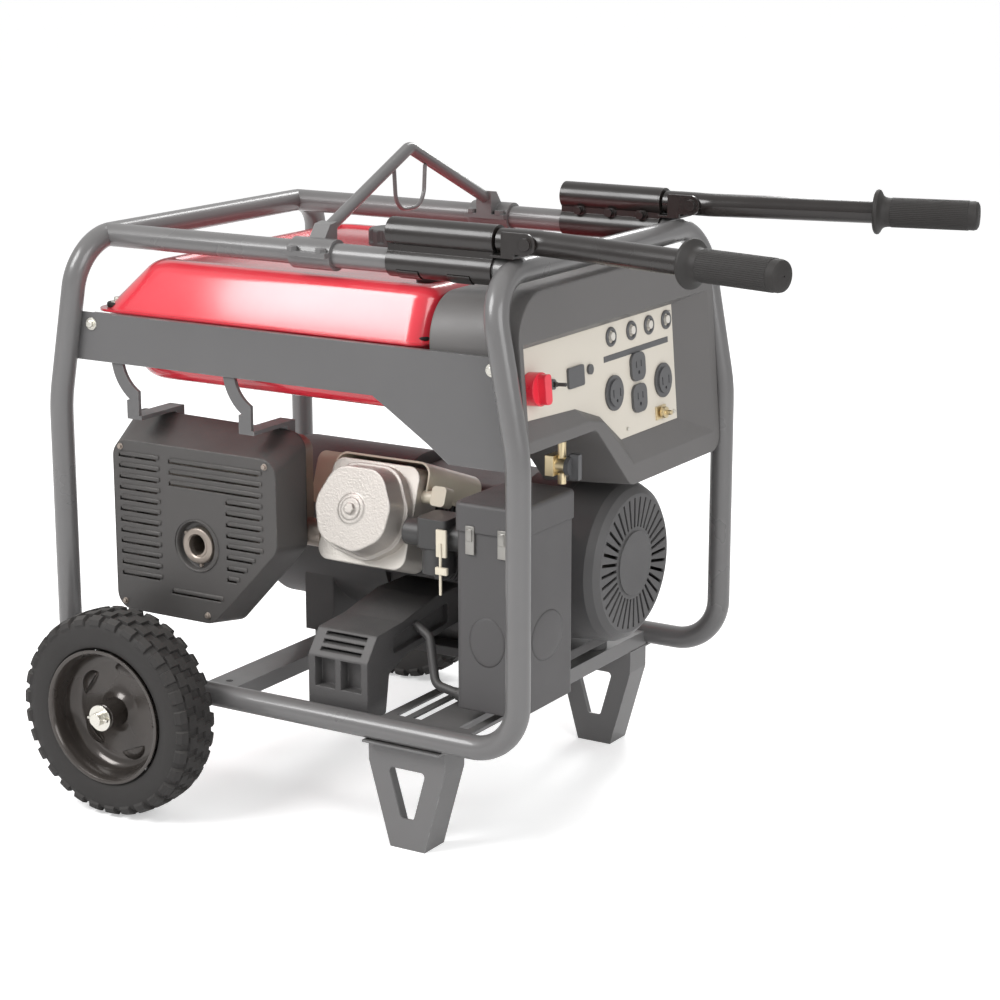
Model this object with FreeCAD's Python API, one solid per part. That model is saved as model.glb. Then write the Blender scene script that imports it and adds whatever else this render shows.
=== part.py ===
import FreeCAD, Part
import math
import os

# Portable open-frame generator with a wheel kit and two fold-down lifting handles.
# Millimetres. Ground is z = 0. +X points to the control panel and the handles,
# -Y is the left side with the muffler, +Z is up. The frame is centred on x = 0, y = 0 while
# it is modelled, and everything is moved along X at the end so that the origin lies under the
# middle of the whole object.

V = FreeCAD.Vector

# ---------------------------------------------------------------- frame
FRAME_HALF_LENGTH = 326.5     # leg centre line, along X
FRAME_HALF_WIDTH = 250.8      # leg centre line, along Y
FRAME_TUBE_R = 14.3
FRAME_TUBE_WALL = 2.0
BEND_R = 60.0
BOTTOM_TUBE_Z = 145.0
TOP_TUBE_Z = 685.2
KNEE_Z = 486.0                # legs are upright below this height and lean in above it
KNEE_LEAN = 37.5              # how far the top of a leg leans in, along X
KNEE_BEND_R = 200.0
TOP_RAIL_Y = 196.4

# ---------------------------------------------------------------- base
RAIL_FRONT_X = 204.0
RAIL_REAR_X = -109.0
RAIL_WIDTH = 44.0
RAIL_HEIGHT = 19.0
RAIL_WALL = 3.0
RAIL_TOP_Z = 150.0
RAIL_HOLE_R = 4.5
RAIL_HOLE_Y = 212.0
RUBBER_R = 18.0
RUBBER_HEIGHT = 14.5
SHEET = 2.5                   # pressed plates: base plate, side panels, feet

# ---------------------------------------------------------------- feet
FOOT_X = 174.0
FOOT_TOP_HALF = 53.0
FOOT_BOTTOM_HALF = 24.0
FOOT_DEPTH = 42.0
FOOT_LEFT_WEB_Y = -248.0
FOOT_RIGHT_WEB_Y = 199.0
FOOT_SHOULDER = 28.0

# ---------------------------------------------------------------- wheels
WHEEL_X = -197.0
TYRE_R = 127.0
TYRE_WIDTH = 66.0
TYRE_HEIGHT = 43.0
BEAD_R = TYRE_R - TYRE_HEIGHT
RIM_WALL = 2.5
HUB_R = 18.0
AXLE_R = 8.0
WHEEL_INNER_Y = 285.0         # distance of the wheel's inner side from the middle plane
RUNNING_FIT = 0.05
AXLE_END = 9.0                # axle length past the washer

# ---------------------------------------------------------------- handles
HANDLE_GAP = 5.5
HANDLE_R = 14.0
HANDLE_Z = TOP_TUBE_Z + FRAME_TUBE_R + HANDLE_GAP + HANDLE_R
HANDLE_WALL = 2.0
SADDLE_START_X = 128.0
SADDLE_END_X = 267.0
SADDLE_WALL = 3.0
COLLAR = 2.0
HINGE_X = 312.0
HINGE_PIN_R = 4.0
HINGE_GAP = 0.4
TONGUE_END_X = 297.0
TONGUE_THICK = 2.8
EAR_THICK = 3.0
EAR_R = 12.0
SPLAY_X = 330.0
SPLAY_DEG = 13.0
SPLAY_BEND_R = 60.0
HANDLE_REACH = 326.0          # from the splay bend to the end of the grip
GRIP_LENGTH = 124.0
GRIP_R = 18.0
GRIP_FLANGE_R = 27.0
GRIP_FLANGE_T = 8.0

# ---------------------------------------------------------------- lifting hanger
HANGER_X = 22.0
HANGER_BAR_R = 7.5
HANGER_TOP_Z = 790.0
HANGER_FOOT_Y = 172.0
HANGER_FOOT_Z = 712.0
HANGER_BEND_R = 14.0
LOOP_WIRE_R = 2.5
LOOP_R = 24.0
CLAMP_LENGTH = 58.0
CLAMP_WALL = 4.0

# ---------------------------------------------------------------- fuel tank
TANK_SEAM_Z = 598.0
TANK_TOP_Z = 660.0
TANK_BOTTOM_Z = 516.0
TANK_LEFT_X = -265.0
TANK_RIGHT_X = 190.0
TANK_WALL = 1.6
FLANGE_OUT = 9.0
CAP_X = -42.0
CAP_Y = 62.0
CAP_R = 33.0
CAP_HEIGHT = 20.0
NECK_R = 24.0

# ---------------------------------------------------------------- side panels
SIDE_PANEL_Y = FRAME_HALF_WIDTH - 5.8
TANK_SIDE_GAP = 23.0            # from a side panel to the body of the tank
TANK_HALF_WIDTH = SIDE_PANEL_Y - TANK_SIDE_GAP
SIDE_PANEL_TOP_Z = 597.0
SIDE_PANEL_BOTTOM_Z = 538.0
SIDE_PANEL_DROP_Z = 470.0

# ---------------------------------------------------------------- engine and alternator
CRANK_Y = 70.0
CRANK_Z = 292.0
SHAFT_R = 15.0
CYLINDER_X = 66.0
CYLINDER_TILT = 19.6          # cylinder above the horizontal, degrees
CASE_X0 = 0.0
CASE_X1 = 172.0
CASE_HALF = 88.0
BRACKET_X0 = 28.0
BRACKET_X1 = 112.0
BRACKET_TOP_Z = 260.0
DRAIN_PIPE_R = 5.5
CASE_WALL = 6.0
BLOWER_X1 = 236.0
RECOIL_X = 300.0
RECOIL_R = 99.0
GRILLE_R = 86.0
GRILLE_HUB_R = 40.0
GRILLE_SLOTS = 36
COVER_WALL = 3.0
FLYWHEEL_R = 90.0
ALTERNATOR_X0 = -190.0
ALTERNATOR_R = 104.0
ROTOR_R = 74.0
AIR_GAP = 1.0
BARREL_START = 96.0           # distances along the cylinder axis, from the crank axis
HEAD_START = 200.0
COVER_START = 246.0
COVER_END = 284.0
FIN_THICK = 3.0
FIN_PITCH = 9.0
HEAD_HALF = 62.0

# ---------------------------------------------------------------- muffler
MUFFLER_X0 = -274.0
MUFFLER_X1 = -16.0
MUFFLER_Z0 = 214.0
MUFFLER_Z1 = 466.0
MUFFLER_BACK_Y = -150.0
MUFFLER_FRONT_Y = -190.0
SHIELD_BACK_Y = -178.0
MUFFLER_INSET = 6.0             # body inside the shield's back edge
EXHAUST_Y = -160.0
EXHAUST_Z = 340.0
EXHAUST_R = 17.0
LOUVRE_TOP_Z = 419.0
LOUVRE_PITCH = 13.6
LOUVRE_HEIGHT = 4.5
SHIELD_FRONT_Y = -232.0
SHIELD_WALL = 1.5
OUTLET_X = -141.0
OUTLET_Z = 322.0
OUTLET_R = 20.0
OUTLET_BORE = 13.0

# ---------------------------------------------------------------- control box
PANEL_X = 310.0               # front face of the panel plate at mid height
PANEL_Z = 535.0
PANEL_LEAN = 4.4              # degrees, top leaning back
BOX_DEPTH = 104.0
RIM_DEPTH = 13.0              # how far the rim stands in front of the plate
BOX_WALL = 3.0
PLATE_THICK = 2.0
KNOB_R = 19.0
KNOB_BASE = 15.0
BREAKER_R = 5.0
BREAKER_TRAVEL = 2.0
BREAKER_GAP = 0.3
OUTLET_FACE_R = 21.0
DUPLEX_R = 17.0

AIR_CASE_X0 = 213.0
AIR_CASE_X1 = 300.0
AIR_CASE_Y0 = -203.0
AIR_CASE_Y1 = -78.0
AIR_CASE_Z0 = 170.0
AIR_CASE_Z1 = 417.0
AIR_LID = 34.0

nodes = {}


# ================================================================ helpers
def box(x0, x1, y0, y1, z0, z1):
    return Part.makeBox(x1 - x0, y1 - y0, z1 - z0, V(x0, y0, z0))


def cylinder(start, direction, radius, length):
    return Part.makeCylinder(radius, length, V(*start), V(*direction))


def ring(start, direction, outer, inner, length):
    return cylinder(start, direction, outer, length).cut(cylinder(start, direction, inner, length))


def fused(shapes):
    """One solid from solids that touch or overlap."""
    whole = shapes[0].multiFuse(shapes[1:]) if len(shapes) > 1 else shapes[0]
    return whole.removeSplitter()


def group(shapes):
    return Part.makeCompound(shapes)


def largest(shape):
    """The biggest solid left after a cut."""
    return max(shape.Solids, key=lambda solid: solid.Volume)


def mirrored(shape):
    """The same piece on the other side of the middle plane."""
    return shape.mirror(V(0, 0, 0), V(0, 1, 0))


def rounded_wire(points, radius):
    """Closed wire through points, each corner turned by an arc; radius is one value or a list."""
    count = len(points)
    radii = radius if isinstance(radius, (list, tuple)) else [radius] * count
    arcs = []
    for i, corner in enumerate(points):
        back = (points[i - 1] - corner).normalize()
        ahead = (points[(i + 1) % count] - corner).normalize()
        if radii[i] <= 0:
            arcs.append((corner, None, corner))
            continue
        half = back.getAngle(ahead) / 2
        reach = radii[i] / math.tan(half)
        middle_way = (back + ahead).normalize()
        centre = corner + middle_way * (radii[i] / math.sin(half))
        arcs.append((corner + back * reach, centre - middle_way * radii[i], corner + ahead * reach))
    edges = []
    for i, (start, middle, end) in enumerate(arcs):
        if middle is not None:
            edges.append(Part.Arc(start, middle, end).toShape())
        following = arcs[(i + 1) % count][0]
        if (following - end).Length > 1e-6:
            edges.append(Part.LineSegment(end, following).toShape())
    return Part.Wire(edges)


def prism_y(outline, y0, y1, radius=0):
    """Outline of (x, z) points drawn out from y0 to y1."""
    wire = rounded_wire([V(x, y0, z) for x, z in outline], radius)
    return Part.Face(wire).extrude(V(0, y1 - y0, 0))


def prism_x(outline, x0, x1, radius=0):
    """Outline of (y, z) points drawn out from x0 to x1."""
    wire = rounded_wire([V(x0, y, z) for y, z in outline], radius)
    return Part.Face(wire).extrude(V(x1 - x0, 0, 0))


def prism_z(outline, z0, z1, radius=0):
    wire = rounded_wire([V(x, y, z0) for x, y in outline], radius)
    return Part.Face(wire).extrude(V(0, 0, z1 - z0))


def rectangle(a0, a1, b0, b1):
    return [(a0, b0), (a1, b0), (a1, b1), (a0, b1)]


def turned(profile, start, direction):
    """Solid of revolution; profile is (distance along the axis, radius) points."""
    wire = Part.makePolygon([V(r, 0, d) for d, r in profile] + [V(profile[0][1], 0, profile[0][0])])
    solid = Part.Face(wire).revolve(V(0, 0, 0), V(0, 0, 1), 360)
    solid.Placement = FreeCAD.Placement(V(*start), FreeCAD.Rotation(V(0, 0, 1), V(*direction)))
    return solid


def tube_pieces(points, radii, outer, inner=0):
    """Straight and bent lengths of a tube, end to end, as separate solids."""
    points = [V(*p) for p in points]
    pieces = []
    start = points[0]
    for i in range(1, len(points) - 1):
        corner = points[i]
        back = (points[i - 1] - corner).normalize()
        ahead = (points[i + 1] - corner).normalize()
        half = back.getAngle(ahead) / 2
        reach = radii[i - 1] / math.tan(half)
        centre = corner + (back + ahead).normalize() * (radii[i - 1] / math.sin(half))
        bend_start = corner + back * reach
        if (bend_start - start).Length > 1e-6:
            pieces.append(straight_tube(start, bend_start, outer, inner))
        face = ring_face(bend_start, back * -1, outer, inner)
        sweep = math.degrees(math.pi - 2 * half)
        turn = (bend_start - centre).cross(back * -1)
        axis = turn.normalize()
        pieces.append(face.revolve(centre, axis, sweep))
        start = corner + ahead * reach
    if (points[-1] - start).Length > 1e-6:
        pieces.append(straight_tube(start, points[-1], outer, inner))
    return pieces


def straight_tube(start, end, outer, inner):
    length = (end - start).Length
    direction = end - start
    solid = Part.makeCylinder(outer, length, start, direction)
    if inner:
        solid = solid.cut(Part.makeCylinder(inner, length, start, direction))
    return solid


def ring_face(centre, normal, outer, inner):
    face = Part.Face(Part.Wire(Part.makeCircle(outer, centre, normal)))
    if inner:
        face = face.cut(Part.Face(Part.Wire(Part.makeCircle(inner, centre, normal)))).Faces[0]
    return face


def bolt(start, direction, radius, length, head_r, head_h):
    """Hexagon-headed bolt; start is under the head and the shank runs along direction."""
    way = V(*direction).normalize()
    hexagon = [V(head_r * math.cos(math.radians(60 * k)), head_r * math.sin(math.radians(60 * k)), 0)
               for k in range(6)]
    head = Part.Face(Part.makePolygon(hexagon + hexagon[:1])).extrude(V(0, 0, head_h))
    head.Placement = FreeCAD.Placement(V(*start) - way * head_h, FreeCAD.Rotation(V(0, 0, 1), way))
    return head.fuse(Part.makeCylinder(radius, length, V(*start), way))


def leg_x(height):
    """Distance of a leg's centre line from the middle, along X, at a height."""
    if height <= KNEE_Z:
        return FRAME_HALF_LENGTH
    return FRAME_HALF_LENGTH - KNEE_LEAN * (height - KNEE_Z) / (TOP_TUBE_Z - KNEE_Z)


# ================================================================ frame
def hoop_lengths(end, bore):
    """Leg, cross tube and leg, bent from one tube; end is +1 at the panel, -1 at the muffler."""
    length = FRAME_HALF_LENGTH
    width = FRAME_HALF_WIDTH
    top_x = leg_x(TOP_TUBE_Z)
    left = [(end * (length - BEND_R), -width, BOTTOM_TUBE_Z), (end * length, -width, BOTTOM_TUBE_Z),
            (end * length, -width, KNEE_Z), (end * top_x, -width, TOP_TUBE_Z)]
    path = left + [(x, -y, z) for x, y, z in reversed(left)]
    radii = [BEND_R, KNEE_BEND_R, BEND_R, BEND_R, KNEE_BEND_R, BEND_R]
    return tube_pieces(path, radii, FRAME_TUBE_R, bore)


def hoop_blank(end):
    """The hoop as one filled solid, for coping the tubes and panels welded to it."""
    return fused(hoop_lengths(end, 0))


def frame():
    inner = FRAME_TUBE_R - FRAME_TUBE_WALL
    nodes["end_hoop_panel"] = group(hoop_lengths(1, inner))
    nodes["end_hoop_muffler"] = group(hoop_lengths(-1, inner))
    straight = FRAME_HALF_LENGTH - BEND_R
    bottom = ring((-straight, -FRAME_HALF_WIDTH, BOTTOM_TUBE_Z), (1, 0, 0), FRAME_TUBE_R, inner,
                  2 * straight)
    nodes["bottom_tube_left"] = bottom
    nodes["bottom_tube_right"] = mirrored(bottom)
    reach = leg_x(TOP_TUBE_Z)
    rail = ring((-reach, -TOP_RAIL_Y, TOP_TUBE_Z), (1, 0, 0), FRAME_TUBE_R, inner, 2 * reach)
    rail = largest(rail.cut([hoop_blank(1), hoop_blank(-1)]))
    nodes["top_rail_left"] = rail
    nodes["top_rail_right"] = mirrored(rail)


def bottom_tube_blank(grow=0.0):
    return cylinder((-FRAME_HALF_LENGTH, -FRAME_HALF_WIDTH, BOTTOM_TUBE_Z), (1, 0, 0),
                    FRAME_TUBE_R + grow, 2 * FRAME_HALF_LENGTH)


def base():
    rails = []
    rail_bottom = RAIL_TOP_Z - RAIL_HEIGHT
    tubes = [bottom_tube_blank(), mirrored(bottom_tube_blank())]
    for x in (RAIL_REAR_X, RAIL_FRONT_X):
        half = RAIL_WIDTH / 2
        channel = box(x - half, x + half, -FRAME_HALF_WIDTH, FRAME_HALF_WIDTH, rail_bottom, RAIL_TOP_Z)
        channel = channel.cut(box(x - half + RAIL_WALL, x + half - RAIL_WALL, -FRAME_HALF_WIDTH,
                                  FRAME_HALF_WIDTH, rail_bottom, RAIL_TOP_Z - RAIL_WALL))
        channel = channel.cut(tubes)
        channel = largest(channel)
        holes = [cylinder((x, y, rail_bottom), (0, 0, 1), RAIL_HOLE_R, RAIL_HEIGHT)
                 for y in (-RAIL_HOLE_Y, RAIL_HOLE_Y)]
        rails.append(channel.cut(holes))

    rubbers = [cylinder((x, y, RAIL_TOP_Z), (0, 0, 1), RUBBER_R, RUBBER_HEIGHT)
               for x in (RAIL_REAR_X, RAIL_FRONT_X) for y in (CRANK_Y - 70, CRANK_Y + 70)]
    nodes["rubber_mounts"] = group(rubbers)

    # The slotted plate under the air cleaner is welded to the front rail.
    plate_y0 = -FRAME_HALF_WIDTH + FRAME_TUBE_R + 1
    plate = box(128, 252, plate_y0, -96, RAIL_TOP_Z, RAIL_TOP_Z + SHEET)
    slots = [box(x, x + 12, plate_y0 + 16, -112, RAIL_TOP_Z - 1, RAIL_TOP_Z + SHEET + 1)
             for x in (142, 164, 228)]
    nodes["base_rails"] = group(rails + [plate.cut(slots)])


def engine_bracket():
    """Cast support from the left bottom tube up to the crankcase, with pockets between ribs."""
    case_side = CRANK_Y - CASE_HALF
    outline = [(-236, RAIL_TOP_Z - 8), (-198, RAIL_TOP_Z - 8), (-190, 190), (-150, 205), (-70, 212),
               (case_side, 216), (case_side, BRACKET_TOP_Z), (-90, BRACKET_TOP_Z), (-160, 246),
               (-214, 242), (-236, 214)]
    bracket = prism_x(outline, BRACKET_X0, BRACKET_X1, 5)
    middle = (BRACKET_X0 + BRACKET_X1) / 2
    for start, end in ((BRACKET_X0 + 9, middle - 4), (middle + 4, BRACKET_X1 - 9)):
        bracket = bracket.cut(box(start, end, -240, -221, 176, 212))
    for step in range(3):
        z = 219 + 8 * step
        bracket = bracket.cut(box(BRACKET_X0 + 14, BRACKET_X1 - 12, -240, -200, z, z + 4))
    side_pocket = prism_x([(-180, 212), (-60, 220), (-60, 246), (-150, 236), (-180, 232)],
                          BRACKET_X1 - 8, BRACKET_X1 + 1, 4)
    return bracket.cut([side_pocket, bottom_tube_blank()])


def drain_pipe():
    """Bent pipe from the support bracket down to the base, closed by a plug."""
    path = [(BRACKET_X1, -132, 236), (136, -138, 226), (158, -160, 176), (190, -160, 170)]
    pipe = fused(tube_pieces(path, [14, 16], DRAIN_PIPE_R))
    pipe = fused([pipe, cylinder(path[-1], (1, 0, -0.19), DRAIN_PIPE_R + 2.5, 8)])
    return pipe.cut(box(BRACKET_X0, BRACKET_X1, -240, -100, 200, BRACKET_TOP_Z))


def foot(web_y, tube_y):
    """Pressed leg: a tapered web, two flanges, a sole and a top plate under the bottom tube."""
    top = BOTTOM_TUBE_Z - FRAME_TUBE_R
    low = top - FOOT_SHOULDER
    x = FOOT_X
    web = [(x - FOOT_TOP_HALF, top), (x + FOOT_TOP_HALF, top), (x + FOOT_TOP_HALF, low),
           (x + FOOT_BOTTOM_HALF, 0), (x - FOOT_BOTTOM_HALF, 0), (x - FOOT_TOP_HALF, low)]
    whole = prism_y(web, web_y, web_y + FOOT_DEPTH)
    shrink = SHEET
    inside = [(x - FOOT_TOP_HALF + shrink, top - shrink), (x + FOOT_TOP_HALF - shrink, top - shrink),
              (x + FOOT_TOP_HALF - shrink, low), (x + FOOT_BOTTOM_HALF - shrink, shrink),
              (x - FOOT_BOTTOM_HALF + shrink, shrink), (x - FOOT_TOP_HALF + shrink, low)]
    whole = whole.cut(prism_y(inside, web_y + SHEET, web_y + FOOT_DEPTH + 1))
    window = [(x - 26, low - 4), (x + 26, low - 4), (x + 9, 38), (x - 9, 38)]
    whole = whole.cut(prism_y(window, web_y - 1, web_y + SHEET + 1, 5))
    pad_half = FRAME_TUBE_R * 0.8
    pad = box(x - FOOT_TOP_HALF, x + FOOT_TOP_HALF, tube_y - pad_half, tube_y + pad_half,
              top - SHEET, top)
    return fused([whole, pad])


def feet():
    nodes["feet"] = group([foot(FOOT_LEFT_WEB_Y, -FRAME_HALF_WIDTH),
                           foot(FOOT_RIGHT_WEB_Y, FRAME_HALF_WIDTH)])


# ================================================================ wheels
def tyre():
    y0 = -WHEEL_INNER_Y
    width = TYRE_WIDTH
    profile = [(0, BEAD_R + 10), (3, BEAD_R + 2), (6, BEAD_R), (14, BEAD_R), (16, BEAD_R + 12),
               (14, TYRE_R - 22), (20, TYRE_R - 12), (width - 20, TYRE_R - 12),
               (width - 14, TYRE_R - 22), (width - 16, BEAD_R + 12), (width - 14, BEAD_R),
               (width - 6, BEAD_R), (width - 3, BEAD_R + 2), (width, BEAD_R + 10),
               (width - 1, TYRE_R - 16), (width - 5, TYRE_R - 6), (width - 12, TYRE_R),
               (12, TYRE_R), (5, TYRE_R - 6), (1, TYRE_R - 16)]
    return turned(profile, (WHEEL_X, y0, TYRE_R), (0, -1, 0))


def rim():
    width = TYRE_WIDTH
    wall = RIM_WALL
    seat = BEAD_R
    bore = AXLE_R + RUNNING_FIT
    disc = 0.50 * width                # where the dish meets the barrel
    profile = [(5, seat - wall), (5, seat), (15, seat), (19, seat - 10), (width - 19, seat - 10),
               (width - 15, seat), (width - 5, seat), (width - 5, seat - wall),
               (width - 16, seat - wall), (width - 20, seat - 10 - wall), (disc, seat - 10 - wall),
               (disc - 12, 58), (disc - 12, 40), (disc + 4, HUB_R + 6), (width, HUB_R),
               (width, bore), (0.5, bore), (0.5, HUB_R), (disc + 4 - wall, HUB_R),
               (disc - 12 - wall, 38), (disc - 12 - wall, 60), (disc - wall, seat - 10 - wall),
               (20, seat - 10 - wall), (16, seat - wall)]
    body = turned(profile, (WHEEL_X, -WHEEL_INNER_Y, TYRE_R), (0, -1, 0))
    return body


def wheel_bracket():
    """Clamp block round the bottom tube with the stub axle it carries."""
    y_tube = -FRAME_HALF_WIDTH
    outer = y_tube - FRAME_TUBE_R - 6
    half_x = 28
    block = box(WHEEL_X - half_x, WHEEL_X + half_x, outer, y_tube + FRAME_TUBE_R + 4,
                BOTTOM_TUBE_Z - FRAME_TUBE_R - 5, BOTTOM_TUBE_Z + FRAME_TUBE_R + 5)
    plate = box(WHEEL_X - half_x, WHEEL_X + half_x, outer, outer + 6, TYRE_R - 26,
                BOTTOM_TUBE_Z + FRAME_TUBE_R + 5)
    clamp = fused([block, plate]).cut(bottom_tube_blank())
    axle_length = -outer - WHEEL_INNER_Y
    boss = cylinder((WHEEL_X, outer, TYRE_R), (0, -1, 0), HUB_R - 4, -axle_length)
    end = WHEEL_INNER_Y + TYRE_WIDTH + 3 + AXLE_END
    axle = cylinder((WHEEL_X, outer, TYRE_R), (0, -1, 0), AXLE_R, end + outer)
    clamp = fused([clamp, boss, axle])
    return clamp


def axle_retainer():
    """Washer and split pin that keep a wheel on its axle."""
    face = -(WHEEL_INNER_Y + TYRE_WIDTH)
    washer = ring((WHEEL_X, face - 0.4, TYRE_R), (0, -1, 0), AXLE_R + 8, AXLE_R, 2.5)
    pin_y = face - 6.5
    pin = cylinder((WHEEL_X - 15, pin_y, TYRE_R), (1, 0, 0), 1.6, 30)
    return [washer, pin.cut(cylinder((WHEEL_X, face, TYRE_R), (0, -1, 0), AXLE_R, 30))]


def wheels():
    nodes["tyre_left"] = tyre()
    nodes["tyre_right"] = mirrored(tyre())
    nodes["wheel_rim_left"] = rim()
    nodes["wheel_rim_right"] = mirrored(rim())
    pieces = [wheel_bracket()]
    for piece in axle_retainer():
        pieces += piece.Solids
    nodes["wheel_brackets"] = group(pieces + [mirrored(piece) for piece in pieces])


# ================================================================ handles
def saddle():
    """Two-lobed clamp: the lower lobe grips the top rail, the upper one holds the hinge bracket."""
    y = -TOP_RAIL_Y
    length = SADDLE_END_X - SADDLE_START_X
    start = SADDLE_START_X
    upper = cylinder((start, y, HANDLE_Z), (1, 0, 0), HANDLE_R + SADDLE_WALL, length)
    lower = cylinder((start, y, TOP_TUBE_Z), (1, 0, 0), FRAME_TUBE_R + SADDLE_WALL, length)
    web = box(start, SADDLE_END_X, y - 11, y + 11, TOP_TUBE_Z, HANDLE_Z)
    body = fused([upper, lower, web])
    body = body.cut([cylinder((start - 1, y, HANDLE_Z), (1, 0, 0), HANDLE_R, length + 2),
                     cylinder((start - 1, y, TOP_TUBE_Z), (1, 0, 0), FRAME_TUBE_R, length + 2)])
    # Two windows on the lower outer edge show the hooked fingers of the clamp plate.
    windows = [box(start + at, start + at + 30, y - 30, y - 4, TOP_TUBE_Z - 30, TOP_TUBE_Z - 7)
               for at in (14, 82)]
    return body.cut(windows)


def clamp_fittings(body):
    """Hooked fingers that show in a saddle's windows, and the nuts on its inner side."""
    y = -TOP_RAIL_Y
    inner = FRAME_TUBE_R + SADDLE_WALL
    pieces = []
    for at in (14.6, 82.6):
        finger = cylinder((SADDLE_START_X + at, y, TOP_TUBE_Z), (1, 0, 0), inner + 1.2, 28.8)
        finger = finger.cut(cylinder((SADDLE_START_X + at, y, TOP_TUBE_Z), (1, 0, 0), FRAME_TUBE_R, 28.8))
        keep = box(SADDLE_START_X, SADDLE_END_X, y - 22, y - 4.6, TOP_TUBE_Z - 22, TOP_TUBE_Z - 7.6)
        pieces.append(finger.common(keep))
    middle = (TOP_TUBE_Z + HANDLE_Z) / 2
    for at in (26, 70, 114):
        start = (SADDLE_START_X + at, y + 11, middle)
        nut = cylinder((start[0], start[1] + 2, middle), (0, 1, 0), 5, 5)
        pieces.append(largest(fused([cylinder(start, (0, 1, 0), 8, 2), nut]).cut(body)))
    return pieces


def hinge_bracket():
    """Rod in the saddle, collar, tongue under the handle, two ears and the pivot pin."""
    y = -TOP_RAIL_Y
    rod = cylinder((SADDLE_START_X + 2, y, HANDLE_Z), (1, 0, 0), HANDLE_R,
                   SADDLE_END_X - SADDLE_START_X - 2)
    collar = cylinder((SADDLE_END_X, y, HANDLE_Z), (1, 0, 0), HANDLE_R + SADDLE_WALL, COLLAR)
    ear_in = HANDLE_R + HINGE_GAP
    ear_out = ear_in + EAR_THICK
    tongue_top = HANDLE_Z - HANDLE_R - HINGE_GAP
    tongue_low = tongue_top - TONGUE_THICK
    tongue = box(SADDLE_END_X, TONGUE_END_X, y - ear_out, y + ear_out, tongue_low, tongue_top)
    pieces = [rod, collar, tongue]
    for side in (-1, 1):
        y0 = min(y + side * ear_in, y + side * ear_out)
        upright = box(TONGUE_END_X - 16, HINGE_X, y0, y0 + EAR_THICK, HANDLE_Z - EAR_R, HANDLE_Z + EAR_R)
        root = box(TONGUE_END_X - 16, TONGUE_END_X, y0, y0 + EAR_THICK, tongue_low, HANDLE_Z)
        boss = cylinder((HINGE_X, y0, HANDLE_Z), (0, 1, 0), EAR_R, EAR_THICK)
        pieces += [upright, root, boss]
    bracket = fused(pieces)
    pin = cylinder((HINGE_X, y - ear_out, HANDLE_Z), (0, 1, 0), HINGE_PIN_R, 2 * ear_out)
    bracket = bracket.cut(pin)
    heads = [cylinder((HINGE_X, y + side * ear_out, HANDLE_Z), (0, side, 0), HINGE_PIN_R + 3, 3)
             for side in (-1, 1)]
    return [bracket, fused([pin] + heads)]


def splay_point(distance, side=-1):
    angle = math.radians(SPLAY_DEG)
    return V(SPLAY_X + distance * math.cos(angle), side * (TOP_RAIL_Y + distance * math.sin(angle)),
             HANDLE_Z)


def handle_start_x():
    """The inner end clears the collar while its lower corner swings back past the pin."""
    room = HINGE_X - SADDLE_END_X - COLLAR - HINGE_GAP
    return HINGE_X - math.sqrt(room ** 2 - HANDLE_R ** 2)


def handle_tube():
    path = [(handle_start_x(), -TOP_RAIL_Y, HANDLE_Z), (SPLAY_X, -TOP_RAIL_Y, HANDLE_Z),
            tuple(splay_point(HANDLE_REACH - 6))]
    whole = fused(tube_pieces(path, [SPLAY_BEND_R], HANDLE_R))
    hollow = fused(tube_pieces(path, [SPLAY_BEND_R], HANDLE_R - HANDLE_WALL))
    hole = cylinder((HINGE_X, -TOP_RAIL_Y - 30, HANDLE_Z), (0, 1, 0), HINGE_PIN_R + RUNNING_FIT, 60)
    return whole.cut([hollow, hole])


def grip():
    start = splay_point(HANDLE_REACH - GRIP_LENGTH)
    direction = (splay_point(1) - splay_point(0))
    tube_end = GRIP_LENGTH - 6
    profile = [(0, HANDLE_R), (0, GRIP_FLANGE_R - 2), (2, GRIP_FLANGE_R), (GRIP_FLANGE_T - 2, GRIP_FLANGE_R),
               (GRIP_FLANGE_T, GRIP_FLANGE_R - 2), (GRIP_FLANGE_T, GRIP_R), (GRIP_LENGTH - 4, GRIP_R),
               (GRIP_LENGTH, GRIP_R - 4), (GRIP_LENGTH, 0), (tube_end, 0), (tube_end, HANDLE_R)]
    return turned(profile, tuple(start), tuple(direction))


def handles():
    body = saddle()
    saddle_left = [body] + clamp_fittings(body)
    nodes["saddle_left"] = group(saddle_left)
    nodes["saddle_right"] = group([mirrored(piece) for piece in saddle_left])
    bracket = hinge_bracket()
    nodes["hinge_bracket_left"] = group(bracket)
    nodes["hinge_bracket_right"] = group([mirrored(piece) for piece in bracket])
    tube = handle_tube()
    nodes["handle_tube_left"] = tube
    nodes["handle_tube_right"] = mirrored(tube)
    nodes["grip_left"] = grip()
    nodes["grip_right"] = mirrored(grip())


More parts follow.
